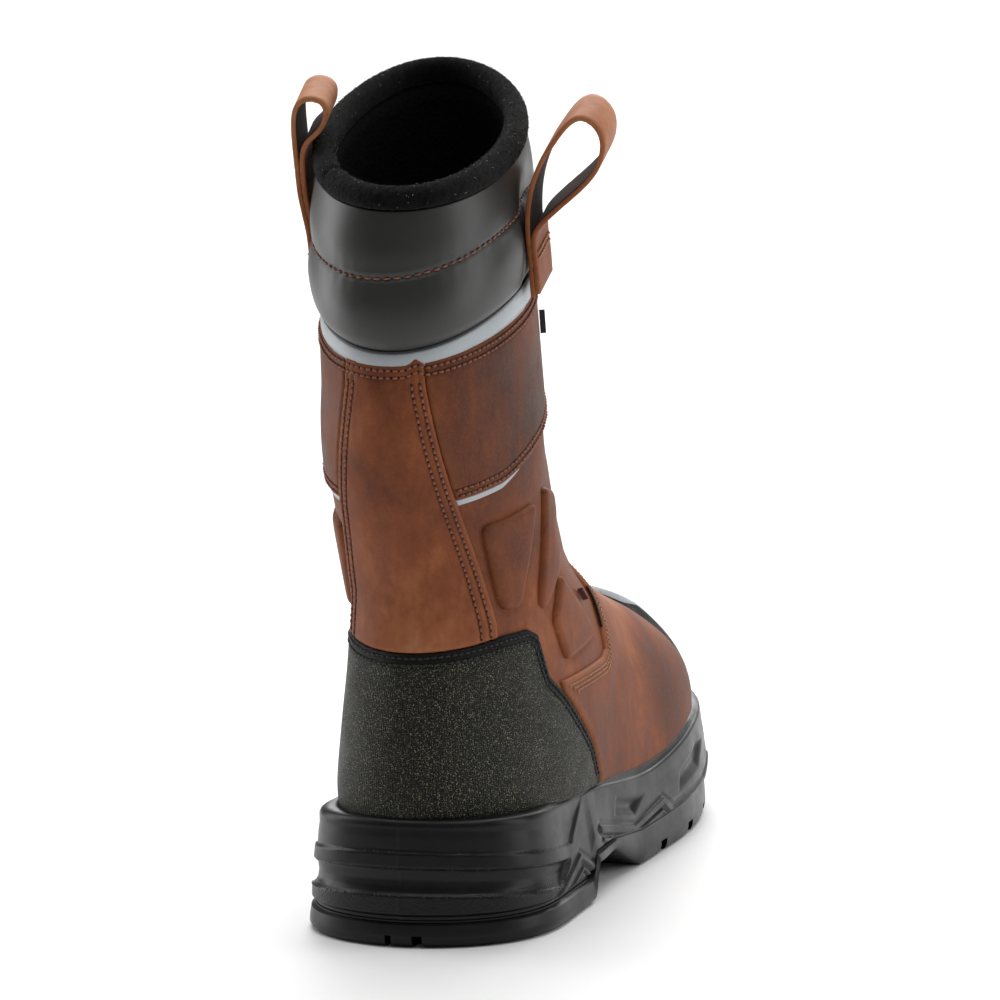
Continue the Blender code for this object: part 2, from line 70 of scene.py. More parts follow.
# Sections of the upper from the feather edge to the rim; t runs up the boot.
SECTION_COLUMNS = ("t", "z_back", "z_front", "x_back", "x_front", "heel", "waist", "ball", "toe",
                   "bend", "shift", "twist")
SECTIONS = np.array([
    (0.00, 43, 41, 10.0, 289.0, 66.0, 37.0, 51.0, 66.0, 1.00, 0.0, 0.0),
    (0.06, 53, 52, 7.5, 293.0, 67.0, 38.0, 51.0, 67.0, 1.00, 0.0, 0.0),
    (0.13, 67, 66, 8.0, 287.0, 64.0, 38.0, 46.5, 60.0, 0.95, 0.0, 0.0),
    (0.20, 83, 80, 11.0, 262.0, 59.0, 37.5, 40.5, 50.0, 0.85, 0.0, 0.0),
    (0.28, 100, 92.5, 15.5, 225.0, 53.0, 37.5, 38.0, 44.0, 0.60, 0.0, 0.0),
    (0.36, 118, 105.5, 19.0, 187.0, 47.5, 38.0, 38.5, 42.0, 0.40, 1.0, 1.0),
    (0.45, 136, 125, 16.5, 155.0, 43.0, 38.5, 39.0, 40.5, 0.25, 2.2, 3.0),
    (0.54, 156, 157, 9.0, 136.0, 41.0, 39.0, 39.0, 40.0, 0.10, 2.6, 4.5),
    (0.64, 180, 192, -1.0, 131.0, 40.0, 39.0, 39.0, 39.5, 0.00, 3.4, 6.0),
    (0.75, 208, 231, -5.5, 131.0, 38.5, 38.0, 38.0, 38.5, 0.00, 3.3, 7.5),
    (0.87, 242, 273, -4.0, 130.0, 37.3, 37.0, 37.0, 37.3, 0.00, 3.9, 9.0),
    (1.00, 283, 318, 0.0, 128.0, 34.4, 34.2, 34.2, 34.4, 0.00, 5.0, 12.0),
])
WIDTH_STATIONS = (0.0, 0.2, 0.45, 0.72, 1.0)

# Sole: outline sizes, lip height along x, and the underside and parting plane along x.
SOLE_BACK = 4.5
SOLE_FRONT = 302.0
SOLE_WIDTHS = {"heel": 92.0, "seat": 54.0, "waist": 41.5, "ball": 54.5, "toe": 70.0}
SOLE_HEEL_SHIFT = 0.3
LIP = np.array([(0, 48), (60, 44.5), (110, 41), (165, 35.5), (195, 37.5), (240, 43), (308, 47.5)])
TREAD_COLUMNS = ("x", "floor", "split")
TREAD = np.array([
    (-10, 0, 10), (85, 0, 10), (90, 14, 18), (120, 13, 17.5), (151, 0, 14), (180, 0, 14),
    (234, 0, 14.5), (256, 0.5, 16), (274, 2.5, 18), (288, 5.5, 20.5), (310, 11, 24),
])

# Growth of the sole's side past its outline: share of the height, at the heel, on the smooth
# shoulder in front of it and at the forefoot.
SIDE = np.array([
    (0.000, 3.0, 3.0, 0.8), (0.050, 3.0, 3.2, 0.8), (0.062, 4.9, 4.6, 2.2), (0.270, 4.5, 4.2, 2.7),
    (0.288, 3.3, 4.1, 2.6), (0.345, 2.1, 3.8, 2.4), (0.420, 1.6, 3.4, 2.1), (0.500, 1.9, 3.0, 1.9),
    (0.535, 2.4, 2.9, 1.8), (0.552, 3.5, 2.8, 1.7), (0.690, 2.9, 2.2, 1.2), (0.706, 1.9, 2.1, 1.1),
    (0.850, 1.3, 1.5, 0.7), (0.950, 0.7, 0.9, 0.3), (0.980, 0.1, 0.2, -0.2), (1.000, -0.8, -0.8, -1.0),
])
HEEL_DIP = 0.10
HEEL_END = ((92, 52), (86, 43), (67, 30), (60, 22), (44, 12), (40, 6))
BREAST_X = (92.0, 116.0)
HEEL_TO_FORE = (90.0, 125.0)
# Outsole's side: share of its height, growth at the heel and at the forefoot.
OUTSOLE = ((0.0, 3.0, -0.6), (0.05, 4.3, 0.5), (0.14, 5.3, 1.2), (0.26, 5.9, 1.6), (0.5, 5.7, 1.6),
           (0.86, 5.0, 1.4), (0.95, 3.4, 1.0), (1.0, 3.4, 1.0))
# Gaps between the lugs: x, length, inner and outer end, slant; then notches at the heel: y, width.
LUGS = (
    (24, 7, 10, 33, -8), (48, 7, 10, 33, 0), (72, 7, 10, 33, 8), (183, 7, 17, 75, 14), (218, 7, 17, 75, 14),
    (249, 7, 17, 75, 14), (280, 7, 17, 75, 14),
)
LUG_DEPTH = 5.0
NOTCHES = ((5.0, 2.4), (-6.5, 4.0))
NOTCH_X = (-12, 14)
NOTCH_DEPTH = 4.6
CUT_LOW = -5.0
PINHOLE_ROWS = (0.27, 0.545, 0.70)
PINHOLES = 26

# Ribs on the sole's side as lines of x and z: height and half width; then sunk facets with a depth.
RIBS = (
    (((40, 10), (72, 21), (96, 9)), 0.7, 1.1),
    (((46, 7), (74, 16), (92, 6)), 0.5, 0.7),
    (((98, 26), (137, 17.5), (172, 21.5), (184, 14.5), (234, 17), (258, 22), (276, 19.5), (300, 25)),
     0.7, 1.3),
    (((100, 21.5), (137, 14), (172, 17.5), (184, 10.5), (234, 13), (258, 18), (276, 16), (300, 21.5)),
     0.5, 0.7),
)
FACETS = (
    (((122, 34), (154, 28), (139, 22.5), (117, 27)), 2.0),
    (((192, 21), (197, 28), (229, 35), (242, 33), (224, 24)), 2.0),
)

# Puffs of the cuff, as packed and as seen: height share and reach out from the upper.
CUFF = np.array([(0.818, 1.6), (0.835, 4.6), (0.865, 6.4), (0.895, 6.6), (0.912, 5.0), (0.930, 6.2),
                 (0.957, 5.6), (0.985, 4.6)])
CUFF_SEEN = np.array([(0.818, 1.4), (0.826, 3.4), (0.838, 4.9), (0.865, 6.3), (0.895, 6.5), (0.912, 6.2),
                      (0.930, 6.2), (0.957, 5.6), (0.985, 4.4)])
# Seam of the cuff: height at the back, climb on both sides and on the right; then its dips as depth
# and reach, its puckers as height, count and reach, and the slack of the padding as height and count.
CUFF_SEAM = (0.908, 0.012, 0.010)
SEAM_DIPS = ((0.8, 0.9), (0.9, 6.0))
SEAM_PUCKERS = (0.07, 52, 3.0)
CUFF_SLACK = (0.3, 38)
# Section of the collar roll, out from the rim and up; and of the band, out and share of its height.
BINDING = ((5.0, 0.5), (5.8, 4.6), (4.0, 8.0), (0.8, 9.4), (-2.2, 8.0), (-3.3, 4.6), (-2.8, 0.5))
BAND = ((0.35, 0.0), (1.0, 0.0), (1.45, 0.3), (1.55, 0.85), (1.2, 1.0), (0.35, 1.0))
NAP_HAIRS = 16000
LINT_HAIRS = 150

# Cut lines of the overlays, seen from the side as x and z.
COUNTER_LINE = ((-40, 107), (12, 108), (40, 112.5), (54, 112.5), (60, 109.5), (65, 92.5), (76, 83.5),
                (98, 61), (107.5, 46), (110, 30), (-40, 30))
VAMP_REAR = ((111.4, 30), (108.9, 46.6), (99.3, 61.8), (77.2, 84.2), (75, 88.4), (126, 88), (133.5, 90),
             (136, 100), (142, 122), (190, 142))
VAMP_FRONT = ((400, 142), (400, 30))
PANEL_LINE = ((-40, 167), (12, 168), (35, 172), (60, 180), (90, 188), (115, 195), (160, 200), (160, 290),
              (-40, 290))
STRIP_LINE = ((12, 168), (35, 172), (47, 175.6))
STRIP_WIDTHS = (2.0, 1.7, 0.1)
SIDE_PADS = {
    "rear": ((27, 156), (60.5, 160.5), (51, 121.5), (41, 122)),
    "mid": ((72, 164.5), (88, 160.5), (91, 144), (84, 130), (68, 117.5), (64, 121)),
    "front": ((86, 128.5), (75, 112), (83.5, 95), (119, 97.5), (115, 105.5), (106, 114)),
}
# Edges of the back stay: z, y of the right and of the left one.
STAY = ((96, -29, 30), (117, -28, 29), (168, -22, 23), (213, -17, 14), (250, -15, 11))
# Rear edge of the toe cap seen from above: x, and the distance from the toe's middle line. The
# stripe lies nearer to it on top of the toe than at the sides.
TOE_EDGE = ((211, 0), (213, 11), (220, 20.5), (233, 25), (247, 28), (256, 33), (259, 41), (256, 50),
            (251, 70))
TOE_FRONT = ((330, 70), (330, -70))
TOE_MIDDLE = 6.0
STRIPE_NEAR = (1.2, 4.0)
STRIPE_LEVELS = (80.0, 90.0)
STRIPE_WIDTH = 2.5

# Stitch rows by their distance from the edge.
VAMP_ROWS = (2.6, 4.2, 5.8)
SEAM_ROWS = (1.9, 4.4)
# Rows by pitch and height over the leather.
ROWS = {"stay": (2.5, 0.1), "top": (2.7, 0.1), "panel": (2.7, -0.15), "counter": (2.6, -0.15),
        "vamp": (1.9, -0.1)}
ROW_CLEAR = 1.0
VAMP_ROW_X = (79, 200)
VAMP_ROW_LOW = 86.8
VAMP_ROW_CLEAR = 1.2
CUFF_PITCH = 3.2
PIPING_LEVELS = (98, 113)
PIPING_RADII = {"instep": 0.55, "band": 0.6}
# Threads by radius, rise and share of the pitch.
THREADS = {"brown": (0.5, 0.24, 0.74), "black": (0.45, 0.22, 0.82), "tan": (0.36, 0.22, 0.76),
           "cuff": (0.42, 0.2, 0.7), "tack": (0.45, 0.3, 0.9)}

# Grids on the upper, as angles and heights with their counts, of pieces and of stitch rows.
GRIDS = {
    "counter": ((-1.5, 1.5, 330), (0.03, 0.36, 92)),
    "stay": ((-0.85, 0.85, 120), (0.25, 0.815, 180)),
    "panel": ((0.2, 2 * PI - 0.2, 330), (0.54, 0.815, 98)),
    "vamp": ((0.95, 2 * PI - 0.95, 430), (0.03, 0.47, 165)),
    "stripe": ((1.85, 2 * PI - 1.85, 620), (0.03, 0.35, 170)),
    "toe": ((1.85, 2 * PI - 1.85, 330), (0.03, 0.35, 130)),
    "pad": ((0.45, 1.75, 150), (0.22, 0.62, 150)),
    "strip": ((0.4, 1.3, 260), (0.55, 0.66, 120)),
    "counter_rows": ((-1.5, 1.5, 260), (0.045, 0.36, 90)),
    "stay_rows": ((-0.85, 0.85, 150), (0.30, 0.773, 160)),
    "panel_rows": ((0.2, 2 * PI - 0.2, 300), (0.55, 0.76, 90)),
    "vamp_rows": ((0.95, 2 * PI - 0.95, 420), (0.05, 0.47, 160)),
    "piping": ((1.2, 2.6, 300), (0.25, 0.42, 160)),
}

# Soft troughs and ridges of the leather, as side lines: depth, width.
CREASES = (
    (((112, 158), (126, 146), (140, 136), (152, 130)), -0.9, 5.0),
    (((116, 147), (130, 137), (146, 128)), 0.6, 4.0),
    (((88, 146), (100, 136), (118, 128)), -0.7, 5.0),
    (((20, 134), (34, 128), (52, 116)), -0.5, 6.0),
    (((96, 178), (112, 172), (128, 174)), -0.6, 6.0),
    (((140, 78), (160, 86), (182, 88)), -0.35, 7.0),
    (((20, 205), (48, 214), (70, 212)), -0.4, 8.0),
)
# Lighter and darker places of the leather: x, y, z, reach and amount.
# These spots are partly the leather's own uneven tone and partly painted light: a painted highlight on top
# of the instep and painted shade in darker places.
TONE_AND_LIGHT_SPOTS = (
    (60, -38, 205, 34, -0.10), (60, 38, 205, 34, -0.08), (-4, 0, 200, 26, 0.03), (10, 0, 140, 26, 0.02),
    (18, -6, 112, 26, 0.12), (98, -36, 165, 34, -0.04), (172, -28, 106, 30, 0.18), (160, -44, 56, 24, 0.10),
    (92, -36, 98, 20, 0.06), (210, -44, 62, 28, -0.09), (172, 30, 106, 30, 0.14), (60, -40, 112, 18, 0.05),
    (230, -20, 84, 20, 0.06), (40, -36, 140, 22, -0.03),
)

# Pull loops as seen along the cuff: out from it, and up from the middle of the cuff. The press is
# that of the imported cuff, the bed and the sink are those of the seen one.
LOOP_T = 0.9
LOOP_THETA = math.radians(86)
LOOP_WIDTH = 26.0
LOOP_THICK = 1.9
LOOP_PRESS = (0.45, 0.22)
LOOP_BED = {"right": (0.42, (0.05, 0.27)), "left": (0.75, (0.20, 0.36))}
LOOP_SINK = {"right": 0.0, "left": 2.6}
LOOP_SINK_LEVELS = (-4.0, 22.0)
LOOP_SEWN_T = (0.93, 0.98)
LOOP_LEVELS = (232, 300)
LOOP_TACKS = (-9.5, -7.0)
LOOP_INSIDE = ((-1, -0.25), (-0.985, -0.5), (-0.8, -0.5), (-0.4, -0.5), (0, -0.5), (0.4, -0.5), (0.8, -0.5),
               (0.985, -0.5), (1, -0.25))
LOOP_SECTION = LOOP_INSIDE + tuple((-u, -v) for u, v in LOOP_INSIDE)
LOOPS = {
    "right": ((0.8, -24.5), (0.8, -8), (0.8, 4), (3.2, 18), (8.4, 30), (12.8, 36.5), (17.6, 42.5),
              (22.8, 46.2), (27.8, 45), (31.4, 39.5), (31, 31.5), (26, 22.8), (16.4, 14), (7.2, 6),
              (2.7, -1), (2.6, -11), (2.6, -23)),
    "left": ((0.8, -20), (0.8, 0), (0.8, 18), (0.8, 31), (-1.4, 38), (-6, 42.5), (-9, 47.5),
             (-8.8, 53), (-4.2, 55.4), (0.6, 53.6), (2.9, 47.5), (3.2, 37), (2.8, 24), (2.6, 8), (2.6, -19)),
}
# Small plain tabs: name, angle, height share, start out from the upper, size along, out and up.
TABS = (("side_tab", 112, 0.738, 2.0, 1.2, 2.2, 9.0), ("instep_tab", 100, 0.368, 0.4, 1.2, 2.2, 7.0))

# Camera: azimuth of the view, elevation, roll, distance, focal length in pixels, and the pixel
# at which the reference point on the floor appears.
CAMERA = {"azimuth": 19.5, "elevation": 9.5, "roll": 1.8, "distance": 2400.0, "focal": 6384.0}
CAMERA_POINT = (4.0, 0.0, 0.0)
CAMERA_PIXEL = (405.0, 945.0)
IMAGE_SIZE = 1000.0
SENSOR = 36.0

# Soft boxes in metres: name, place, size and power.
WORLD_LIGHT = 0.20
LIGHT_TARGET = (0.0, 0.0, 0.14)
LIGHTS = (
    ("left_box", (0.15, 1.35, 0.55), (0.7, 1.3), 8.5),
    ("right_box", (0.25, -1.35, 0.55), (0.7, 1.3), 7.0),
    ("low_box", (1.7, -0.8, 0.22), (0.9, 0.6), 1.8),
    ("top_box", (0.3, 0.0, 2.3), (2.6, 2.6), 46.0),
    ("far_box", (3.4, 0.6, 2.4), (3.0, 4.0), 125.0),
)


# Curves and the form of the upper


def spline_bend(knots, values):
    """Second derivatives of the natural cubic spline through the rows."""
    step = np.diff(knots)[:, None]
    matrix = np.eye(len(knots))
    bend = np.zeros(values.shape)
    slope = np.diff(values, axis=0) / step
    for i in range(1, len(knots) - 1):
        matrix[i, i - 1:i + 2] = (step[i - 1, 0], 2 * (step[i - 1, 0] + step[i, 0]), step[i, 0])
        bend[i] = 6 * (slope[i] - slope[i - 1])
    return np.linalg.solve(matrix, bend)


def spline(knots, values, bend, at):
    i = np.clip(np.searchsorted(knots, at) - 1, 0, len(knots) - 2)
    h = (knots[i + 1] - knots[i])[..., None]
    a = (knots[i + 1] - at)[..., None] / h
    b = 1 - a
    curve = (a ** 3 - a) * bend[i] + (b ** 3 - b) * bend[i + 1]
    return a * values[i] + b * values[i + 1] + curve * h * h / 6


SECTION_BEND = spline_bend(SECTIONS[:, 0], SECTIONS)
LIP_BEND = spline_bend(LIP[:, 0], LIP)
CUFF_BEND = spline_bend(CUFF_SEEN[:, 0], CUFF_SEEN)


def section(t):
    values = spline(SECTIONS[:, 0], SECTIONS, SECTION_BEND, t)
    return {name: values[..., i] for i, name in enumerate(SECTION_COLUMNS)}


def lip_height(x):
    return spline(LIP[:, 0], LIP, LIP_BEND, x)[..., 1]


def tread(x, column):
    return np.interp(x, TREAD[:, 0], TREAD[:, TREAD_COLUMNS.index(column)])


def smooth_step(value, low, high):
    s = np.clip((value - low) / (high - low), 0, 1)
    return s * s * (3 - 2 * s)


def width_share(widths, f):
    """Smooth half-width factor along the foot, from the heel, waist, ball and toe widths."""
    seat = widths.get("seat", 0.5 * (widths["heel"] + widths["waist"]))
    values = [widths["heel"], seat, widths["waist"], widths["ball"], widths["toe"]]
    values = [np.broadcast_to(value, f.shape) for value in values]
    step = np.diff(WIDTH_STATIONS)
    rise = [(values[i + 1] - values[i]) / step[i] for i in range(4)]
    slope = [rise[0]] + [0.5 * (rise[i] + rise[i + 1]) for i in range(3)] + [rise[3]]
    result = np.zeros(f.shape)
    for i in range(4):
        s = np.clip((f - WIDTH_STATIONS[i]) / step[i], 0, 1)
        inside = (f >= WIDTH_STATIONS[i]) & ((f < WIDTH_STATIONS[i + 1]) | (i == 3))
        blend = s * s * (3 - 2 * s)
        curve = s * (1 - s) ** 2 * slope[i] - s * s * (1 - s) * slope[i + 1]
        result = np.where(inside, values[i] + (values[i + 1] - values[i]) * blend + curve * step[i], result)
    return result


def centre_line(f):
    return 11.0 * f ** 3 - 5.0 * np.exp(-((f - 0.45) / 0.18) ** 2)


def boot_point(theta, t):
    """Outside of the upper; theta 0 is the back, pi the toe, and the right side comes first."""
    theta, t = np.broadcast_arrays(np.asarray(theta, float), np.asarray(t, float))
    row = section(t)
    f = 0.5 * (1 - np.cos(theta))
    x = row["x_back"] + (row["x_front"] - row["x_back"]) * f
    y = centre_line(f) * row["bend"] - np.sin(theta) * width_share(row, f)
    top = smooth_step(t, 0.75, 1.0)
    rise = f + 0.1 * top * (f ** 4 - f)
    feather_x = SECTIONS[0, 3] + (SECTIONS[0, 4] - SECTIONS[0, 3]) * f
    feather = lip_height(feather_x) - SEAT - (SECTIONS[0, 1] + (SECTIONS[0, 2] - SECTIONS[0, 1]) * f)
    z = row["z_back"] + (row["z_front"] - row["z_back"]) * rise
    z = z + feather * np.clip(1 - t / 0.2, 0, 1) ** 2
    middle = 0.5 * (row["x_back"] + row["x_front"])
    turn = np.radians(row["twist"])
    turned_x = middle + (x - middle) * np.cos(turn) - y * np.sin(turn)
    turned_y = (x - middle) * np.sin(turn) + y * np.cos(turn) + row["shift"]
    return np.stack([turned_x, turned_y, z], axis=-1)


def unit(vectors):
    return vectors / np.maximum(np.linalg.norm(vectors, axis=-1, keepdims=True), 1e-12)


def boot_normal(theta, t):
    theta = np.asarray(theta, float)
    t = np.asarray(t, float)
    around = boot_point(theta + EPS, t) - boot_point(theta - EPS, t)
    along = boot_point(theta, t + EPS) - boot_point(theta, t - EPS)
    return unit(np.cross(around, along))


def skin(theta, t, out):
    return boot_point(theta, t) + boot_normal(theta, t) * np.asarray(out, float)[..., None]


# Distances to cut lines, as seen from the side, the back or above


def line_distance(points, line):
    """Distance from points in a plane to an open line."""
    line = np.asarray(line, float)
    best = np.full(points.shape[:-1], 1e9)
    for a, b in zip(line[:-1], line[1:]):
        along = b - a
        s = np.clip(((points - a) @ along) / (along @ along), 0, 1)
        best = np.minimum(best, np.linalg.norm(points - a - s[..., None] * along, axis=-1))
    return best


def inside_line(points, line):
    x, z = points[..., 0], points[..., 1]
    odd = np.zeros(x.shape, bool)
    for (ax, az), (bx, bz) in zip(line, line[1:] + line[:1]):
        if az == bz:
            continue
        crosses = ((az > z) != (bz > z)) & (x < (bx - ax) * (z - az) / (bz - az) + ax)
        odd ^= crosses
    return odd


def signed(points, line):
    """Distance to a closed line, positive inside."""
    line = [tuple(point) for point in line]
    distance = line_distance(points, line + line[:1])
    return np.where(inside_line(points, line), distance, -distance)


def rounded(line, reach):
    """A closed line whose corners are rounded off over the given reach."""
    line = np.asarray(line, float)
    points = []
    for before, corner, after in zip(np.roll(line, 1, axis=0), line, np.roll(line, -1, axis=0)):
        ends = []
        for other in (before, after):
            length = np.linalg.norm(other - corner)
            ends.append(corner + (other - corner) * min(reach / length, 0.4))
        for s in (0.0, 0.25, 0.5, 0.75, 1.0):
            bow = (1 - s) ** 2 * ends[0] + 2 * s * (1 - s) * corner + s * s * ends[1]
            points.append(tuple(bow))
    return points


def smooth_line(line, count):
    """Points at even steps along the spline through a line's corners."""
    line = np.array(line, float)
    knots = np.arange(len(line), dtype=float)
    return spline(knots, line, spline_bend(knots, line), np.linspace(0, len(line) - 1, count))


TOE_EDGES = [(x, -y) for x, y in reversed(TOE_EDGE[1:])] + list(TOE_EDGE)
TOE_LINE = [tuple(point) for point in smooth_line(TOE_EDGES, 45)] + list(TOE_FRONT)


def side_view(theta, t):
    return boot_point(theta, t)[..., [0, 2]]


def counter_field(theta, t):
    return signed(side_view(theta, t), COUNTER_LINE)


def stay_edges(theta, t):
    points = boot_point(theta, t)[..., [1, 2]]
    line = [(row[1], row[0]) for row in STAY] + [(row[2], row[0]) for row in reversed(STAY)]
    return np.where(np.cos(theta) > 0, signed(points, line), -60.0)


def panel_top(theta):
    """The leather's upper edge: highest at the sides, with a small fold at the back stay."""
    place, reach, high = STAY_FOLD
    fold = high * np.exp(-((theta - place) / reach) ** 2)
    return PANEL_TOP_T + PANEL_LIFT[0] + PANEL_LIFT[1] * np.sin(theta) ** 2 + fold


def below_top(theta, t):
    return (panel_top(theta) - t) * T_LENGTH


def stay_field(theta, t):
    cut = np.minimum(stay_edges(theta, t), -counter_field(theta, t) - CUT_GAP)
    return np.minimum(cut, below_top(theta, t))


def panel_side(theta, t):
    return signed(side_view(theta, t), PANEL_LINE)


def panel_field(theta, t):
    cut = np.minimum(panel_side(theta, t), -stay_edges(theta, t) - CUT_GAP)
    return np.minimum(cut, below_top(theta, t))


def toe_field(theta, t):
    return signed(boot_point(theta, t)[..., :2] - (0, TOE_MIDDLE), TOE_LINE)


def vamp_field(theta, t):
    rear = signed(side_view(theta, t), VAMP_REAR + VAMP_FRONT)
    return np.minimum(rear, -toe_field(theta, t) - CUT_GAP)


def stripe_field(theta, t):
    """The stripe keeps one width, and lies further from the cap's edge at the sides."""
    distance = toe_field(theta, t)
    low = 1 - smooth_step(side_view(theta, t)[..., 1], *STRIPE_LEVELS)
    near = STRIPE_NEAR[0] + (STRIPE_NEAR[1] - STRIPE_NEAR[0]) * low
    return np.minimum(distance - near, near + STRIPE_WIDTH - distance)


def pad_field(line):
    def field(theta, t):
        return np.minimum(signed(side_view(theta, t), line), -stay_edges(theta, t) - PAD_GAP)
    return field


def strip_field(theta, t):
    low = [(x, z - 0.5 - width) for (x, z), width in zip(STRIP_LINE, STRIP_WIDTHS)]
    high = [(x, z + 1.5) for x, z in reversed(STRIP_LINE)]
    return np.minimum(signed(side_view(theta, t), low + high), -stay_edges(theta, t) - CUT_GAP)


PAD_LINES = {place: rounded(line, PAD_CORNER) for place, line in SIDE_PADS.items()}


# Relief of the leather, its tone and painted light


def relief(theta, t):
    """Soft creases that pass through all the leather pieces."""
    points = boot_point(theta, t)
    side = points[..., [0, 2]]
    out = np.zeros(side.shape[:-1])
    for line, depth, width in CREASES:
        out += depth * np.exp(-(line_distance(side, line) / width) ** 2)
    upward = np.sin(points[..., 2] / 17.0 + 2 * np.cos(theta))
    forward = np.sin(points[..., 0] / 23.0 + 1.3 * np.sin(theta))
    return out + 0.22 * upward * forward


# Sum of the spots: the leather's own tone together with painted highlight and painted shade.
def tone_and_light_of(points):
    tone_and_light = np.zeros(points.shape[:-1])
    for x, y, z, reach, amount in TONE_AND_LIGHT_SPOTS:
        tone_and_light += amount * np.exp(-((points - (x, y, z)) ** 2).sum(axis=-1) / reach ** 2)
    return tone_and_light


# Meshes


def add_piece(name, points, faces, materials, node=None, marks=None, picks=None):
    """One visible piece in the row frame; marks are values at its points for the materials."""
    mesh = bpy.data.meshes.new(name)
    mesh.from_pydata(((np.asarray(points) + SHIFT) * MM).tolist(), [], faces)
    for material in materials:
        mesh.materials.append(material)
    if picks is not None:
        mesh.polygons.foreach_set("material_index", np.asarray(picks, np.int32))
    for key, values in (marks or {}).items():
        attribute = mesh.attributes.new(key, "FLOAT", "POINT")
        attribute.data.foreach_set("value", np.asarray(values, np.float32))
    mesh.polygons.foreach_set("use_smooth", np.ones(len(mesh.polygons), bool))
    mesh.update()
    item = bpy.data.objects.new(name, mesh)
    bpy.context.scene.collection.objects.link(item)
    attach(item, "root")
    if node:
        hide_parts(*node)
    return item


def face_outwards(mesh):
    form = bmesh.new()
    form.from_mesh(mesh)
    bmesh.ops.recalc_face_normals(form, faces=form.faces)
    form.to_mesh(mesh)
    form.free()


def ring_angles(count):
    return np.arange(count) * 2 * PI / count


def ring_faces(rows, count, closed=False):
    """Quads between rings of count points each; closed, the last ring also joins the first."""
    i = np.arange(count)
    j = (i + 1) % count
    faces = []
    for row in range(rows if closed else rows - 1):
        low = row * count
        high = (row + 1) % rows * count
        faces.append(np.stack([low + i, low + j, high + j, high + i], axis=1))
    return np.concatenate(faces).tolist()


def across_faces(start, count):
    """Closes a mirrored ring with strips from each point to the one across the foot."""
    faces = []
    for i in range(count // 2):
        ring = [i, i + 1, (count - i - 1) % count, (count - i) % count]
        faces.append([start + index for k, index in enumerate(ring) if index not in ring[:k]])
    return faces


def bridged_faces(rows, count):
    """Rings around the foot, closed across it at the first and the last ring."""
    return ring_faces(rows, count) + across_faces(0, count) + across_faces((rows - 1) * count, count)


def strap_faces(rows, count):
    """Rings along a strap or cord, with one face at each end."""
    last = (rows - 1) * count
    return ring_faces(rows, count) + [list(reversed(range(count))), [last + k for k in range(count)]]


def snap_to_line(theta, t, field, distance, near):
    """Moves the chosen points along the surface onto the line where the field is zero."""
    a, b, d = theta[near], t[near], distance[near]
    for _ in range(3):
        slope_a = (field(a + EPS, b) - field(a - EPS, b)) / (2 * EPS)
        slope_b = (field(a, b + EPS) - field(a, b - EPS)) / (2 * EPS)
        length_a = np.linalg.norm(boot_point(a + EPS, b) - boot_point(a - EPS, b), axis=-1) / (2 * EPS)
        length_b = np.linalg.norm(boot_point(a, b + EPS) - boot_point(a, b - EPS), axis=-1) / (2 * EPS)
        size = np.maximum((slope_a / length_a) ** 2 + (slope_b / length_b) ** 2, 0.04)
        move_a = d * slope_a / length_a ** 2 / size
        move_b = d * slope_b / length_b ** 2 / size
        a = a - np.clip(move_a, -1.2 / length_a, 1.2 / length_a)
        b = b - np.clip(move_b, -1.2 / length_b, 1.2 / length_b)
        d = field(a, b)
    theta[near], t[near], distance[near] = a, b, 0.0


def trimmed_grid(thetas, heights, field):
    """Points and faces of a grid on the upper, cut along the line where the field is zero."""
    theta, t = np.meshgrid(thetas, heights, indexing="ij")
    distance = field(theta, t)
    step = np.maximum(np.abs(np.gradient(distance, axis=0)), np.abs(np.gradient(distance, axis=1)))
    near = np.abs(distance) < 0.52 * np.clip(step, 0.2, 2.5)
    snap_to_line(theta, t, field, distance, near)
    keep = distance >= 0
    count = len(heights)
    faces = []
    for i, j in zip(*np.nonzero(keep[:-1, :-1] + 0 + keep[1:, :-1] + keep[1:, 1:] + keep[:-1, 1:] >= 3)):
        ring = [(i, j), (i + 1, j), (i + 1, j + 1), (i, j + 1)]
        faces.append([a * count + b for a, b in ring if keep[a, b]])
    used = np.unique(np.concatenate([np.array(face) for face in faces]))
    index = np.full(theta.size, -1)
    index[used] = np.arange(len(used))
    faces = [[int(index[k]) for k in face] for face in faces]
    return theta.ravel()[used], t.ravel()[used], distance.ravel()[used], faces


def rim_edges(faces):
    """Edges that belong to one face only, in the order in which that face runs."""
    seen = {}
    for face in faces:
        for a, b in zip(face, face[1:] + face[:1]):
            key = (min(a, b), max(a, b))
            seen[key] = None if key in seen else (a, b)
    return [edge for edge in seen.values() if edge]


def grid_of(name, side="right"):
    """Angles and heights of a grid; on the left the angles are mirrored."""
    thetas, heights = (np.linspace(*span) for span in GRIDS[name])
    return (thetas if side == "right" else 2 * PI - thetas[::-1]), heights


def overlay(name, grid, field, rise, material, node, rim=0.6, sink=0.35, tone_and_light=0.0):
    """A sewn-on piece: its face follows the upper, and its cut edge goes down to it."""
    theta, t, distance, faces = trimmed_grid(*grid, field)
    normal = boot_normal(theta, t)
    base = boot_point(theta, t)
    points = base + normal * (rise(distance, theta, t) + relief(theta, t))[:, None]
    edges = rim_edges(faces)
    rim_points = sorted({a for edge in edges for a in edge})
    place = {a: len(points) + k for k, a in enumerate(rim_points)}
    low = base[rim_points] + normal[rim_points] * (relief(theta, t)[rim_points] - sink)[:, None]
    faces = faces + [[b, a, place[a], place[b]] for a, b in edges]
    wear = np.concatenate([np.exp(-distance / 1.6), np.full(len(rim_points), 1.0)])
    every = np.concatenate([points, low])
    both = np.concatenate([np.arange(len(points)), rim_points]).astype(int)
    marks = {"wear": wear * rim, "tone_and_light": tone_and_light_of(every) + tone_and_light, "around": arc_of(theta)[both],
             "up": t[both] * T_LENGTH}
    add_piece(name, every, faces, [material], [node], marks)


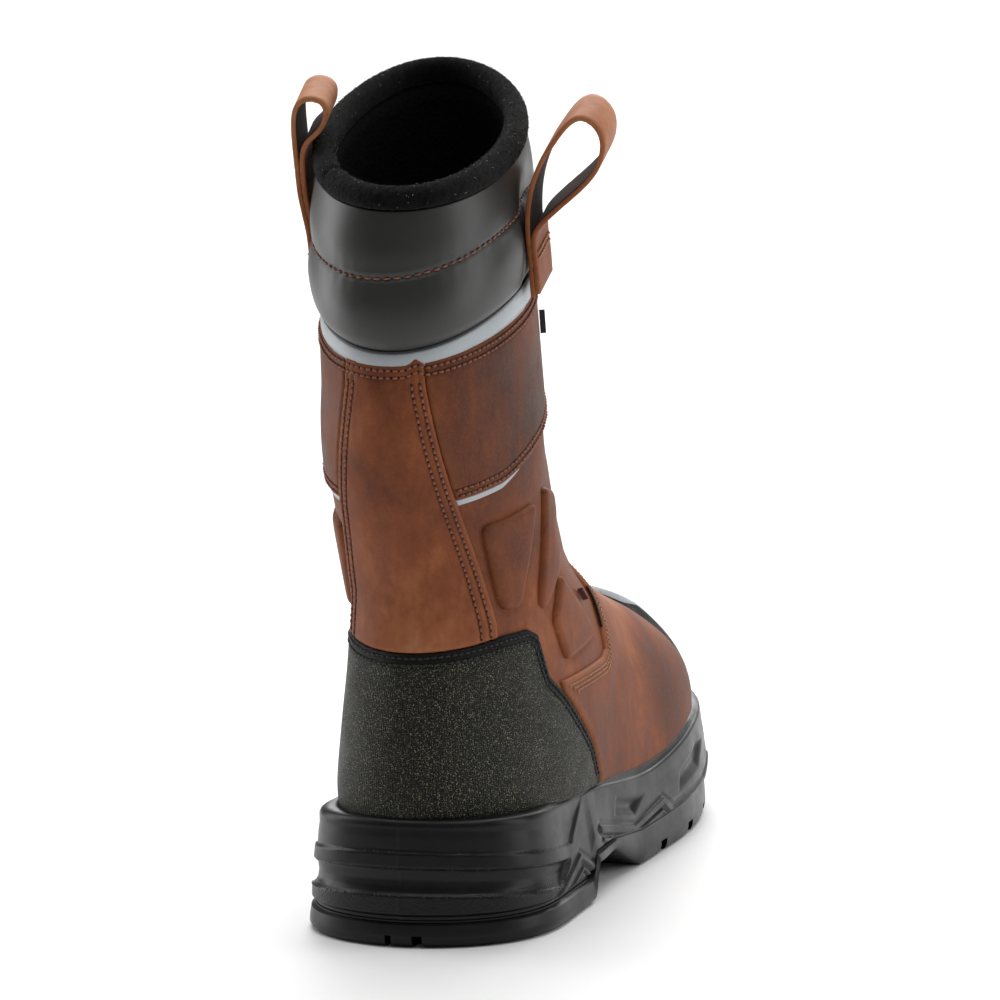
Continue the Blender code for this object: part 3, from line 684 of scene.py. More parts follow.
ARC_THETA = np.linspace(-PI, 3 * PI, 2001)
ARC_STEPS = np.linalg.norm(np.diff(boot_point(ARC_THETA, 0.2), axis=0), axis=1)
ARC = np.concatenate([[0.0], np.cumsum(ARC_STEPS)])


def arc_of(theta):
    return np.interp(theta, ARC_THETA, ARC)


def edge_rise(thick, soft, rows=(), dent=0.45, sewn=None):
    """Height over the upper by the distance from the edge, with channels under the stitch rows."""
    def rise(distance, theta, t):
        share = np.clip(distance / soft, 0, 1)
        height = thick * (0.55 + 0.45 * np.sqrt(1 - (1 - share) ** 2))
        away = sewn(theta, t) if sewn else distance
        for row in rows:
            height = height - dent * np.exp(-((away - row) / 0.7) ** 2)
        return height
    return rise


def stay_sewn(theta, t):
    return np.minimum(stay_edges(theta, t), below_top(theta, t))


def panel_sewn(theta, t):
    return np.minimum(panel_side(theta, t), below_top(theta, t))


def vamp_sewn(theta, t):
    return line_distance(side_view(theta, t), VAMP_REAR[4:])


def pad_rise(distance, theta, t):
    share = np.clip(distance / 2.8, 0, 1)
    crown = 0.25 * np.clip(distance / 9.0, 0, 1)
    return PAD_HIGH * np.sqrt(1 - (1 - share) ** 2) + crown


def toe_rise(distance, theta, t):
    """The toe cap climbs from the vamp to its own height over a short slope."""
    climb = TOE_RISE * smooth_step(t, *TOE_SLOPE) * smooth_step(distance, 0.0, TOE_RAMP)
    return edge_rise(THICK, 0.8)(distance, theta, t) + climb


def stripe_rise(distance, theta, t):
    return toe_rise(toe_field(theta, t), theta, t) + 0.35 * np.clip(0.4 + distance / 0.5, 0, 1)


# Stitches


def contour(thetas, heights, field):
    """Lines on the upper where the field is zero, as arrays of theta and t, longest first."""
    theta, t = np.meshgrid(thetas, heights, indexing="ij")
    value = field(theta, t)
    cross = {}
    links = {}

    def crossing(kind, i, j):
        a, b = (i, j), ((i + 1, j) if kind == 0 else (i, j + 1))
        va, vb = value[a], value[b]
        if (va >= 0) == (vb >= 0):
            return None
        s = va / (va - vb)
        cross[(kind, i, j)] = (theta[a] + (theta[b] - theta[a]) * s, t[a] + (t[b] - t[a]) * s)
        return (kind, i, j)

    sign = value >= 0
    count = sign[:-1, :-1] + 0 + sign[1:, :-1] + sign[1:, 1:] + sign[:-1, 1:]
    for i, j in zip(*np.nonzero((count > 0) & (count < 4))):
        keys = [crossing(0, i, j), crossing(1, i + 1, j), crossing(0, i, j + 1), crossing(1, i, j)]
        keys = [key for key in keys if key]
        for a, b in zip(keys[::2], keys[1::2]):
            links.setdefault(a, []).append(b)
            links.setdefault(b, []).append(a)
    lines = []
    while links:
        start = next((key for key, near in links.items() if len(near) == 1), next(iter(links)))
        line = [start]
        while links.get(line[-1]):
            after = links[line[-1]].pop()
            links[after].remove(line[-1])
            line.append(after)
        for key in line:
            if key in links and not links[key]:
                del links[key]
        lines.append(np.array([cross[key] for key in line]))
    return sorted(lines, key=len, reverse=True)


def spaced(points, pitch):
    """Even places along a line of points, as fractional indices."""
    run = np.concatenate([[0.0], np.cumsum(np.linalg.norm(np.diff(points, axis=0), axis=1))])
    count = max(int(run[-1] / pitch), 1)
    return np.interp(np.arange(count + 1) * run[-1] / count, run, np.arange(len(points)))


def along_line(line, pitch, out):
    """Points and normals at an even pitch along a line of theta and t."""
    at = spaced(skin(*line.T, out), pitch)
    theta = np.interp(at, np.arange(len(line)), line[:, 0])
    t = np.interp(at, np.arange(len(line)), line[:, 1])
    height = out + relief(theta, t)
    return skin(theta, t, height), boot_normal(theta, t)


STITCH_ROWS = (-1.0, -0.75, -0.3, 0.3, 0.75, 1.0)
STITCH_SIDES = 6
DOT_SIDES = 6


def stitch_mesh(starts, ends, normals, radius, lift):
    """Short threads that dive into the leather at both ends, as one set of points and faces."""
    middle = 0.5 * (starts + ends)
    half = 0.5 * (ends - starts)
    across = unit(np.cross(half, normals))
    rows = []
    for s in STITCH_ROWS:
        centre = middle + half * s + normals * (lift * (1 - s * s) - 0.35 * s ** 4)
        size = radius * math.sqrt(max(1 - 0.8 * s * s, 0.0))
        for angle in ring_angles(STITCH_SIDES):
            rows.append(centre + across * (size * math.cos(angle)) + normals * (size * math.sin(angle)))
    points = np.stack(rows, axis=1).reshape(-1, 3)
    one = np.array(ring_faces(len(STITCH_ROWS), STITCH_SIDES))
    each = len(STITCH_ROWS) * STITCH_SIDES
    faces = (one[None] + each * np.arange(len(starts))[:, None, None]).reshape(-1, 4).tolist()
    caps = []
    for k in range(len(starts)):
        caps.append([k * each + i for i in reversed(range(STITCH_SIDES))])
        caps.append([(k + 1) * each - STITCH_SIDES + i for i in range(STITCH_SIDES)])
    return points, faces + caps


class Thread:
    """Collects stitches of one colour into one piece, and keeps the places of their holes."""

    def __init__(self, radius, lift, share):
        self.radius, self.lift, self.share = radius, lift, share
        self.points, self.faces, self.total = [], [], 0
        self.holes = []

    def sew(self, places, normals):
        starts, ends = places[:-1], places[1:]
        jitter = DRAW.normal(0, 0.06, (2, len(starts), 3))
        rest = 0.5 * (1 - self.share)
        a = starts + (ends - starts) * rest + jitter[0]
        b = ends - (ends - starts) * rest + jitter[1]
        points, faces = stitch_mesh(a, b, 0.5 * (normals[:-1] + normals[1:]), self.radius, self.lift)
        self.points.append(points)
        self.faces += [[index + self.total for index in face] for face in faces]
        self.total += len(points)
        self.holes.append(np.concatenate([places, normals], axis=1))

    def row(self, line, name):
        pitch, over = ROWS[name]
        if len(line) > 3:
            self.sew(*along_line(line, pitch, THICK + over))

    def finish(self, name, material, slot):
        add_piece(name, np.concatenate(self.points), self.faces, [material], None)


def dots_mesh(places, normals, radius, flat):
    """Small flattened beads, used for the painted shade of needle holes and for pinholes."""
    across = unit(np.cross(normals, np.array([0.31, 0.52, 0.79])))
    beside = np.cross(normals, across)
    rows = [places + normals * (radius * flat)]
    for angle in ring_angles(DOT_SIDES):
        rows.append(places + (across * math.cos(angle) + beside * math.sin(angle)) * radius)
    rows.append(places - normals * (radius * flat))
    points = np.stack(rows, axis=1).reshape(-1, 3)
    sides = [(1 + k, 1 + (k + 1) % DOT_SIDES) for k in range(DOT_SIDES)]
    one = np.array([(0, a, b) for a, b in sides] + [(len(rows) - 1, b, a) for a, b in sides])
    faces = one[None] + len(rows) * np.arange(len(places))[:, None, None]
    return points, faces.reshape(-1, 3).tolist()


def tube(points, normals, radius, sides=8, closed=False):
    """A thin round cord along a line of points."""
    if closed:
        run = unit(np.roll(points, -1, axis=0) - np.roll(points, 1, axis=0))
    else:
        run = unit(np.gradient(points, axis=0))
    across = unit(np.cross(run, normals))
    upward = np.cross(across, run)
    rows = []
    for angle in ring_angles(sides):
        rows.append(points + (across * math.cos(angle) + upward * math.sin(angle)) * radius)
    every = np.stack(rows, axis=1).reshape(-1, 3)
    rows = len(points)
    return every, ring_faces(rows, sides, True) if closed else strap_faces(rows, sides)


# Materials


def srgb(*levels):
    """Linear colour from screen levels 0 to 255."""
    return tuple((level / 255 / 12.92 if level < 10.3 else ((level / 255 + 0.055) / 1.055) ** 2.4)
                 for level in levels) + (1.0,)


class Finish:
    """A Principled material and short ways to add nodes to it."""

    def __init__(self, name, **sockets):
        self.material = bpy.data.materials.new(name)
        self.material.use_nodes = True
        self.tree = self.material.node_tree
        self.main = self.tree.nodes["Principled BSDF"]
        self.place = self.add("ShaderNodeTexCoord").outputs["Object"]
        for key, value in sockets.items():
            self.put(self.main.inputs[key.replace("_", " ")], value)

    def put(self, socket, value):
        if isinstance(value, bpy.types.NodeSocket):
            self.tree.links.new(value, socket)
        else:
            socket.default_value = value

    def add(self, kind, values=None, **settings):
        node = self.tree.nodes.new(kind)
        for key, value in settings.items():
            setattr(node, key, value)
        for key, value in (values or {}).items():
            self.put(node.inputs[key], value)
        return node

    def set(self, key, value):
        self.put(self.main.inputs[key], value)

    def mark(self, key):
        return self.add("ShaderNodeAttribute", attribute_name=key).outputs["Fac"]

    def noise(self, scale, detail=4.0, rough=0.55, place=None):
        values = {"Vector": place or self.place, "Scale": scale, "Detail": detail, "Roughness": rough}
        return self.add("ShaderNodeTexNoise", values).outputs["Fac"]

    def cells(self, scale, place=None, feature="F1"):
        values = {"Vector": place or self.place, "Scale": scale}
        return self.add("ShaderNodeTexVoronoi", values, feature=feature).outputs["Distance"]

    def stretched(self, *scale):
        return self.add("ShaderNodeMapping", {"Vector": self.place, "Scale": scale}).outputs["Vector"]

    def math(self, operation, a, b=0.0):
        node = self.add("ShaderNodeMath", operation=operation)
        self.put(node.inputs[0], a)
        self.put(node.inputs[1], b)
        return node.outputs[0]

    def total(self, *terms):
        """Sum of values, each with its weight."""
        parts = [value if weight == 1 else self.math("MULTIPLY", value, weight) for value, weight in terms]
        result = parts[0]
        for part in parts[1:]:
            result = self.math("ADD", result, part)
        return result

    def span(self, value, low, high, to_low=0.0, to_high=1.0):
        values = {"Value": value, "From Min": low, "From Max": high, "To Min": to_low, "To Max": to_high}
        return self.add("ShaderNodeMapRange", values).outputs["Result"]

    def mix(self, share, a, b):
        node = self.add("ShaderNodeMix", data_type="RGBA")
        for index, value in ((0, share), (6, a), (7, b)):
            self.put(node.inputs[index], value)
        return node.outputs[2]

    def ramp(self, value, stops):
        node = self.add("ShaderNodeValToRGB", {"Fac": value})
        band = node.color_ramp
        while len(band.elements) < len(stops):
            band.elements.new(0.5)
        for element, (place, colour) in zip(band.elements, stops):
            element.position = place
            element.color = colour
        return node.outputs["Color"]

    def bump(self, height, strength, distance):
        values = {"Height": height, "Strength": strength, "Distance": distance * MM}
        self.set("Normal", self.add("ShaderNodeBump", values).outputs["Normal"])


def leather_finish():
    finish = Finish("leather_brown", Specular_IOR_Level=0.2)
    broad = finish.noise(24, 5, 0.6)
    mottle = finish.noise(95, 7, 0.7)
    streak = finish.noise(1.0, 5, 0.65, finish.stretched(230, 230, 70))
    # The tone_and_light mark moves the colour along the ramp: the leather's own tone, with painted highlight
    # and painted shade.
    tone_and_light = finish.math("ADD", finish.mark("tone_and_light"), 0.14)
    value = finish.total((broad, 0.34), (mottle, 0.28), (streak, 0.14), (tone_and_light, 1))
    stops = ((0.30, srgb(58, 29, 15)), (0.44, srgb(96, 48, 24)), (0.55, srgb(124, 66, 36)),
             (0.68, srgb(156, 95, 60)), (0.85, srgb(188, 140, 106)))
    colour = finish.ramp(value, stops)
    fine = finish.noise(900, 4, 0.7)
    colour = finish.mix(finish.span(fine, 0.45, 0.75, 0.0, 0.22), colour, srgb(142, 90, 60))
    patchy = finish.span(finish.noise(350, 4, 0.7), 0.3, 0.7, 0.55, 1.0)
    worn = finish.math("MULTIPLY", finish.mark("wear"), patchy)
    colour = finish.mix(worn, colour, srgb(166, 102, 64))
    finish.set("Base Color", colour)
    finish.set("Roughness", finish.span(mottle, 0.3, 0.7, 0.50, 0.68))
    grain = finish.cells(1000, feature="SMOOTH_F1")
    finish.bump(finish.total((grain, 0.6), (fine, 0.6), (mottle, 1.2)), 0.35, 0.25)
    return finish.material


def plain_finish(name, colour, other, rough, scale=400, depth=0.05, **sockets):
    """A near-even finish with fine variation of colour, gloss and surface."""
    finish = Finish(name, **sockets)
    fine = finish.noise(scale, 5, 0.65)
    finish.set("Base Color", finish.mix(finish.span(fine, 0.3, 0.7), colour, other))
    finish.set("Roughness", finish.span(finish.noise(scale / 6, 4), 0.3, 0.7, rough - 0.05, rough + 0.07))
    finish.bump(fine, 0.5, depth)
    return finish.material


def satin_finish():
    finish = Finish("cuff_satin", Specular_IOR_Level=0.5)
    specks = finish.span(finish.cells(210), 0.0, 0.05, 1.0, 0.0)
    shade = finish.mix(finish.noise(30, 3), srgb(34, 34, 33), srgb(43, 43, 41))
    finish.set("Base Color", finish.mix(finish.math("MULTIPLY", specks, 0.35), shade, srgb(105, 105, 100)))
    finish.set("Roughness", finish.span(finish.noise(60, 4), 0.3, 0.7, 0.36, 0.44))
    finish.bump(finish.noise(1600, 3), 0.25, 0.05)
    return finish.material


def woven_finish(name, pitch, light, dots):
    """Black cloth with a crossed weave and tiny light flecks."""
    finish = Finish(name, Specular_IOR_Level=0.16)
    a = finish.math("ADD", finish.mark("around"), finish.mark("up"))
    b = finish.math("SUBTRACT", finish.mark("around"), finish.mark("up"))
    turn = 2 * PI / pitch / math.sqrt(2)
    wave = finish.math("MULTIPLY", finish.math("SINE", finish.math("MULTIPLY", a, turn)),
                       finish.math("SINE", finish.math("MULTIPLY", b, turn)))
    height = finish.total((wave, 1), (finish.noise(1500, 3), 0.8))
    shade = finish.mix(finish.span(wave, -0.6, 0.9), srgb(6, 6, 5), srgb(37, 38, 34))
    fleck = finish.math("MULTIPLY", finish.span(finish.noise(2100, 2, 0.6), 0.58, 0.66), dots)
    cloth = finish.mix(fleck, shade, light)
    edge = finish.span(finish.mark("wear"), 0.035, 0.055)
    finish.set("Base Color", finish.mix(edge, cloth, srgb(15, 15, 15)))
    finish.set("Roughness", finish.span(finish.noise(80, 3), 0.3, 0.7, 0.42, 0.58))
    finish.bump(height, 0.7, 0.16)
    return finish.material


def fuzz_finish():
    finish = Finish("collar_fuzz", Specular_IOR_Level=0.08, Sheen_Weight=0.08, Roughness=0.95)
    fine = finish.noise(1700, 5, 0.75)
    coarse = finish.noise(240, 5, 0.7)
    shade = finish.mix(finish.span(coarse, 0.35, 0.7), srgb(4, 4, 4), srgb(19, 19, 18))
    lint = finish.span(fine, 0.66, 0.74)
    finish.set("Base Color", finish.mix(finish.math("MULTIPLY", lint, 0.35), shade, srgb(84, 84, 80)))
    finish.bump(finish.math("ADD", fine, coarse), 1.0, 0.5)
    return finish.material


def mesh_finish():
    finish = Finish("lining_mesh", Specular_IOR_Level=0.1, Roughness=0.85)
    holes = finish.cells(620)
    finish.set("Base Color", finish.mix(finish.span(holes, 0.2, 0.6), srgb(2, 2, 2), srgb(13, 13, 13)))
    finish.bump(holes, 0.8, 0.4)
    return finish.material


def reflective_finish():
    finish = Finish("reflective_grey", Specular_IOR_Level=0.35)
    beads = finish.cells(1800)
    finish.set("Base Color", finish.mix(finish.noise(70, 4), srgb(162, 168, 172), srgb(180, 186, 190)))
    finish.set("Roughness", finish.span(finish.noise(120, 4), 0.3, 0.7, 0.34, 0.46))
    finish.bump(beads, 0.3, 0.05)
    return finish.material


def rubber_finish():
    finish = Finish("sole_rubber", Specular_IOR_Level=0.24)
    dust = finish.noise(45, 5, 0.7)
    finish.set("Base Color", finish.mix(finish.span(dust, 0.35, 0.75), srgb(9, 9, 10), srgb(20, 20, 21)))
    finish.set("Roughness", finish.span(finish.noise(90, 5, 0.6), 0.3, 0.7, 0.27, 0.42))
    dots = finish.math("MULTIPLY", finish.cells(1000), finish.mark("dotted"))
    finish.bump(finish.total((finish.noise(1300, 3), 0.22), (dots, 1)), 0.6, 0.18)
    return finish.material


LEATHER = leather_finish()
SUEDE = plain_finish("leather_flesh_side", srgb(40, 22, 14), srgb(64, 37, 24), 0.9, 700, 0.3)
SATIN = satin_finish()
COUNTER = woven_finish("counter_weave", 1.25, srgb(146, 144, 114), 0.8)
TOE_BLACK = woven_finish("toe_black", 1.25, srgb(90, 90, 80), 0.4)
FUZZ = fuzz_finish()
LINING = mesh_finish()
REFLECTIVE = reflective_finish()
RUBBER = rubber_finish()
PIPING = plain_finish("black_piping", srgb(12, 12, 12), srgb(26, 26, 26), 0.5)
BLACK_THREAD = plain_finish("black_thread", srgb(14, 14, 14), srgb(38, 38, 36), 0.6, 900, 0.1)
BROWN_THREAD = plain_finish("brown_thread", srgb(104, 57, 38), srgb(154, 98, 72), 0.6, 900, 0.1)
TAN_THREAD = plain_finish("tan_thread", srgb(138, 90, 60), srgb(184, 134, 98), 0.6, 900, 0.1)
# Dark brown for the needle holes: painted shade.
NEEDLE_HOLE_SHADE = plain_finish("needle_hole_shade", srgb(34, 18, 12), srgb(50, 28, 18), 0.9)
FELT = plain_finish("footbed_felt", srgb(20, 20, 20), srgb(38, 38, 38), 0.9, 900, 0.3)
RED_CLOTH = plain_finish("red_cloth", srgb(54, 11, 13), srgb(80, 19, 21), 0.8, 900, 0.2)
LINT = plain_finish("grey_lint", srgb(120, 120, 116), srgb(170, 170, 165), 0.9)


# Upper and the pieces sewn on it


def make_upper():
    count = 300
    theta = ring_angles(count)
    heights = np.concatenate([np.linspace(0, 0.2, 24)[:-1], np.linspace(0.2, 0.68, 150)[:-1],
                              np.linspace(0.68, CUFF_T[1], 24)])
    grid_theta, grid_t = np.meshgrid(theta, heights)
    out = relief(grid_theta, grid_t)
    side = side_view(grid_theta, grid_t)
    for line in PAD_LINES.values():
        away = -signed(side, line)
        out -= 0.55 * np.exp(-(away / 1.8) ** 2)
    outer = skin(grid_theta, grid_t, out)
    inner_t = np.linspace(CUFF_T[1], 0.0, 46)
    inner = skin(*np.meshgrid(theta, inner_t), -WALL)
    inner[-1, :, 2] = outer[0, :, 2]
    points = np.concatenate([outer, inner]).reshape(-1, 3)
    faces = ring_faces(len(heights) + len(inner_t), count, True)
    picks = np.zeros(len(faces), int)
    picks[(len(heights) - 1) * count:] = 1
    marks = {"tone_and_light": tone_and_light_of(points) - 0.03, "wear": np.zeros(len(points))}
    return add_piece("upper_leather", points, faces, [LEATHER, LINING], ["upper"], marks, picks)


def make_overlays():
    overlay("heel_counter_woven", grid_of("counter"), counter_field,
            edge_rise(THICK, 1.2, SEAM_ROWS), COUNTER, "heel_counter")
    overlay("back_stay_leather", grid_of("stay"), stay_field,
            edge_rise(THICK + 0.25, 1.2, SEAM_ROWS, sewn=stay_sewn), LEATHER, "back_stay",
            rim=0.35)
    overlay("shaft_panel_leather", grid_of("panel"), panel_field,
            edge_rise(THICK, 1.2, SEAM_ROWS, sewn=panel_sewn), LEATHER, "shaft_panel",
            rim=0.35, tone_and_light=-0.07)
    overlay("vamp_leather", grid_of("vamp"), vamp_field,
            edge_rise(THICK, 1.2, VAMP_ROWS, 0.2, vamp_sewn), LEATHER, "vamp", rim=0.8, tone_and_light=-0.05)
    overlay("toe_stripe_tape", grid_of("stripe"), stripe_field, stripe_rise, REFLECTIVE, "toe_stripe",
            rim=0.0, sink=0.0)
    overlay("toe_cap_black", grid_of("toe"), toe_field, toe_rise, TOE_BLACK, "toe_cap")
    for side in ("right", "left"):
        for place, line in PAD_LINES.items():
            node = "ankle_pad_" + place + "_" + side
            overlay(node + "_leather", grid_of("pad", side), pad_field(line), pad_rise, LEATHER, node,
                    rim=0.25, sink=1.2, tone_and_light=-0.05)
        node = "edge_strip_" + side
        overlay(node + "_tape", grid_of("strip", side), strip_field, edge_rise(0.7, 0.5), REFLECTIVE, node,
                rim=0.0)


def row_lines(field, row, grid):
    """Lines on the upper at one distance inside a piece's edge."""
    return contour(*grid_of(grid), lambda theta, t: field(theta, t) - row)


def sew_upper():
    brown, black, tan = (Thread(*THREADS[name]) for name in ("brown", "black", "tan"))
    ring = np.linspace(0, 2 * PI, 720)
    for row in SEAM_ROWS:
        for line in row_lines(stay_edges, row, "stay_rows"):
            brown.row(line[counter_field(*line.T) < -ROW_CLEAR], "stay")
        brown.row(np.column_stack([ring, panel_top(ring) - row / T_LENGTH]), "top")
        for line in row_lines(panel_side, row, "panel_rows"):
            brown.row(line[stay_edges(*line.T) < -ROW_CLEAR], "panel")
        for line in row_lines(counter_field, row, "counter_rows"):
            black.row(line, "counter")
    for row in VAMP_ROWS:
        for line in row_lines(vamp_field, row, "vamp_rows"):
            x, z = side_view(*line.T).T
            keep = (counter_field(*line.T) < -row - VAMP_ROW_CLEAR) & (z > VAMP_ROW_LOW - row)
            line = line[keep & (x > VAMP_ROW_X[0]) & (x < VAMP_ROW_X[1])]
            for part in np.split(line, np.nonzero(np.abs(np.diff(line[:, 0])) > 0.1)[0] + 1):
                tan.row(part, "vamp")
    brown.finish("stitches_brown", BROWN_THREAD, "leather")
    black.finish("stitches_black", BLACK_THREAD, "woven")
    tan.finish("stitches_tan", TAN_THREAD, "leather")
    make_piping()
    # Dark beads where the brown stitches enter the leather: painted shade in the needle holes.
    holes = np.concatenate(brown.holes)
    points, faces = dots_mesh(holes[:, :3], holes[:, 3:], 0.55, 0.25)
    add_piece("needle_hole_shade_dots", points, faces, [NEEDLE_HOLE_SHADE], None)


def make_piping():
    """A black cord along the vamp's edge, below the tab at the instep."""
    for line in row_lines(vamp_field, -0.4, "piping"):
        z = side_view(*line.T)[:, 1]
        line = line[(z > PIPING_LEVELS[0]) & (z < PIPING_LEVELS[1])]
        if len(line) > 6:
            cord, faces = tube(skin(*line.T, THICK * 0.6), boot_normal(*line.T), PIPING_RADII["instep"])
            add_piece("instep_piping", cord, faces, [PIPING], None)
            return


# Cuff, band and collar


def cuff_profile(t):
    return spline(CUFF_SEEN[:, 0], CUFF_SEEN, CUFF_BEND, t)[..., 1]


def seam_height(theta):
    """The cuff's seam climbs towards the sides, more so on the right."""
    back, both, right = CUFF_SEAM
    return back + both * np.sin(theta) ** 2 + right * np.sin(theta)


def cuff_height(theta, t):
    """Moves the cuff's lower part up at the sides."""
    rest = np.clip((CUFF_T[1] - t) / (CUFF_T[1] - CUFF_T[0]), 0, 1)
    return t + CUFF_LIFT * np.sin(theta) ** 2 * rest ** 3


def cuff_out(theta, t):
    """The padding, pressed in where the pull loops are sewn on, and puckered along its seam."""
    out = cuff_profile(t)
    sewn = 1 - smooth_step(t, *LOOP_SEWN_T)
    for side, middle in (("right", LOOP_THETA), ("left", 2 * PI - LOOP_THETA)):
        deep, wide = LOOP_BED[side]
        out = out * (1 - deep * sewn * (1 - smooth_step(np.abs(theta - middle), *wide)))
    from_seam = np.abs(t - seam_height(theta)) * T_LENGTH
    high, puckers, reach = SEAM_PUCKERS
    out = out + high * np.sin(theta * puckers) * np.exp(-from_seam / reach)
    for deep, reach in SEAM_DIPS:
        out = out - deep * np.exp(-(from_seam / reach) ** 2)
    high, waves = CUFF_SLACK
    return out + high * np.sin(3 * theta + 1.0) * np.sin((t - CUFF_T[0]) * waves)


def make_cuff():
    count = 420
    theta, t = np.meshgrid(ring_angles(count), np.linspace(*CUFF_T, 84))
    outer = skin(theta, cuff_height(theta, t), cuff_out(theta, t))
    theta, t = np.meshgrid(ring_angles(count), np.linspace(CUFF_T[1], CUFF_T[0], 10))
    inner = skin(theta, cuff_height(theta, t), GAP)
    rings = np.concatenate([outer, inner])
    cuff = add_piece("cuff_padded", rings.reshape(-1, 3), ring_faces(len(rings), count, True), [SATIN],
                     ["cuff"])
    seam = Thread(*THREADS["cuff"])
    ring = np.linspace(0, 2 * PI, 900)
    at = spaced(boot_point(ring, seam_height(ring)), CUFF_PITCH)
    turned = np.interp(at, np.arange(len(ring)), ring)
    height = seam_height(turned)
    out = cuff_out(turned, height) + 0.3
    height = cuff_height(turned, height)
    seam.sew(skin(turned, height, out), boot_normal(turned, height))
    seam.finish("cuff_stitches", BROWN_THREAD, "cuff_satin")


def make_band():
    count = 360
    theta = ring_angles(count)
    low = panel_top(theta) - 0.005
    high = BAND_TOP_T + CUFF_LIFT * np.sin(theta) ** 2
    rings = np.concatenate([skin(theta, low + (high - low) * share, out) for out, share in BAND])
    faces = ring_faces(len(BAND), count, True)
    add_piece("reflective_band_tape", rings, faces, [REFLECTIVE], ["reflective_band"])
    high = high + 0.002
    cord, faces = tube(skin(theta, high, 1.5), boot_normal(theta, high), PIPING_RADII["band"], closed=True)
    add_piece("band_piping", cord, faces, [PIPING], None)


def make_binding():
    count = 360
    theta = ring_angles(count)
    shape = smooth_line(BINDING, 26)
    rim_t = np.full(count, CUFF_T[1])
    rim = boot_point(theta, rim_t)
    outward = boot_normal(theta, rim_t)
    along = unit(boot_point(theta, rim_t + EPS) - rim)
    crease = 0.9 * np.exp(-((theta - 5.45) / 0.035) ** 2)
    rough = DRAW.normal(0, 0.10, (len(shape), count))
    rings = []
    for k, (out, up) in enumerate(shape):
        wide = out * (1 - 0.12 * crease + rough[k] * 0.25)
        high = up * (1 - 0.1 * crease) + rough[k]
        rings.append(rim + outward * wide[:, None] + along * high[:, None])
    faces = ring_faces(len(shape), count, True)
    item = add_piece("collar_binding_fuzz", np.concatenate(rings), faces, [FUZZ], ["collar_binding"])
    face_outwards(item.data)
    make_hairs(rim, outward, along, shape)


def make_hairs(rim, outward, along, shape):
    """Short nap on the collar roll, and grey lint caught in it."""
    count = NAP_HAIRS
    column = DRAW.integers(0, len(rim), count)
    row = DRAW.uniform(1, len(shape) - 2, count)
    out = np.interp(row, np.arange(len(shape)), shape[:, 0])
    up = np.interp(row, np.arange(len(shape)), shape[:, 1])
    root = rim[column] + outward[column] * out[:, None] + along[column] * up[:, None]
    middle = rim[column] + along[column] * 4.5
    lean = unit(unit(root - middle) + DRAW.normal(0, 0.55, (count, 3)))
    length = DRAW.uniform(0.5, 1.3, count)
    wide = unit(np.cross(lean, DRAW.normal(0, 1, (count, 3)))) * 0.07
    foot = root - lean * 0.2
    points = np.stack([foot - wide, foot + wide, root + lean * length[:, None]], axis=1)
    faces = np.arange(3 * count).reshape(-1, 3).tolist()
    add_piece("collar_nap", points.reshape(-1, 3), faces, [FUZZ], None)
    picked = DRAW.choice(count, LINT_HAIRS, replace=False)
    spread = unit(DRAW.normal(0, 1, (LINT_HAIRS, 3)))
    half = spread * DRAW.uniform(0.15, 0.9, LINT_HAIRS)[:, None]
    normals = unit(root[picked] - middle[picked])
    half = half - normals * (half * normals).sum(axis=1)[:, None]
    base = root[picked] + normals * 0.15
    points, faces = stitch_mesh(base - half, base + half, normals, 0.07, 0.2)
    add_piece("collar_lint", points, faces, [LINT], None)


# Sole


def sole_outline(theta):
    f = 0.5 * (1 - np.cos(theta))
    x = SOLE_BACK + (SOLE_FRONT - SOLE_BACK) * f
    middle = centre_line(f) + SOLE_HEEL_SHIFT * (1 - smooth_step(f, 0.1, 0.45))
    return np.stack([x, middle - np.sin(theta) * width_share(SOLE_WIDTHS, f)], axis=-1)


def sole_out(theta):
    along = unit(sole_outline(theta + EPS) - sole_outline(theta - EPS))
    return np.stack([along[..., 1], -along[..., 0]], axis=-1)


def sole_angles(half):
    """Angles at even distances along the right side, mirrored on the left."""
    fine = np.linspace(0, PI, 4001)
    run = np.concatenate([[0.0], np.cumsum(np.linalg.norm(np.diff(sole_outline(fine), axis=0), axis=1))])
    right = np.interp(np.linspace(0, run[-1], half + 1), run, fine)
    return np.concatenate([right, 2 * PI - right[1:-1][::-1]])


def heel_dip(x):
    """How far the heel's steps dip towards the front, as a share of the side's height."""
    return HEEL_DIP * np.clip(x, 0, 60) / 34.0


def side_growth(theta, share, z):
    """How far the sole's side stands out, with its ribs, steps, facets and parting line."""
    x = sole_outline(theta)[..., 0]
    dipped = share + heel_dip(x)
    dipped = np.where(share > 0.93, share, np.minimum(dipped, 0.93))
    dipped = np.where(share < 0.06, share, dipped)
    heel = np.interp(dipped, SIDE[:, 0], SIDE[:, 1])
    shoulder = np.interp(share, SIDE[:, 0], SIDE[:, 2])
    fore = np.interp(share, SIDE[:, 0], SIDE[:, 3])
    place = np.stack([x, z], axis=-1)
    end = np.array(HEEL_END)
    before = x - np.interp(z, end[::-1, 1], end[::-1, 0])
    grow = heel + (shoulder - heel) * smooth_step(before, -1.2, 1.2)
    grow = grow + (fore - grow) * smooth_step(x, *BREAST_X)
    inner = (share > 0.05) & (share < 0.93)
    for line, height, half in RIBS:
        away = line_distance(place, line)
        rib = height * (1 - smooth_step(away, half * 0.7, half * 1.5))
        groove = 0.4 * np.exp(-((away - half * 2.1) / 0.6) ** 2)
        grow = grow + np.where(inner, rib - groove, 0)
    for line, depth in FACETS:
        grow = grow - np.where(inner, depth * smooth_step(signed(place, line), -0.5, 4.0), 0)
    parting = np.abs(np.sin(theta / 2)) * 300
    return grow + np.where(parting < 4, 0.35 * np.exp(-(parting / 0.45) ** 2), 0)


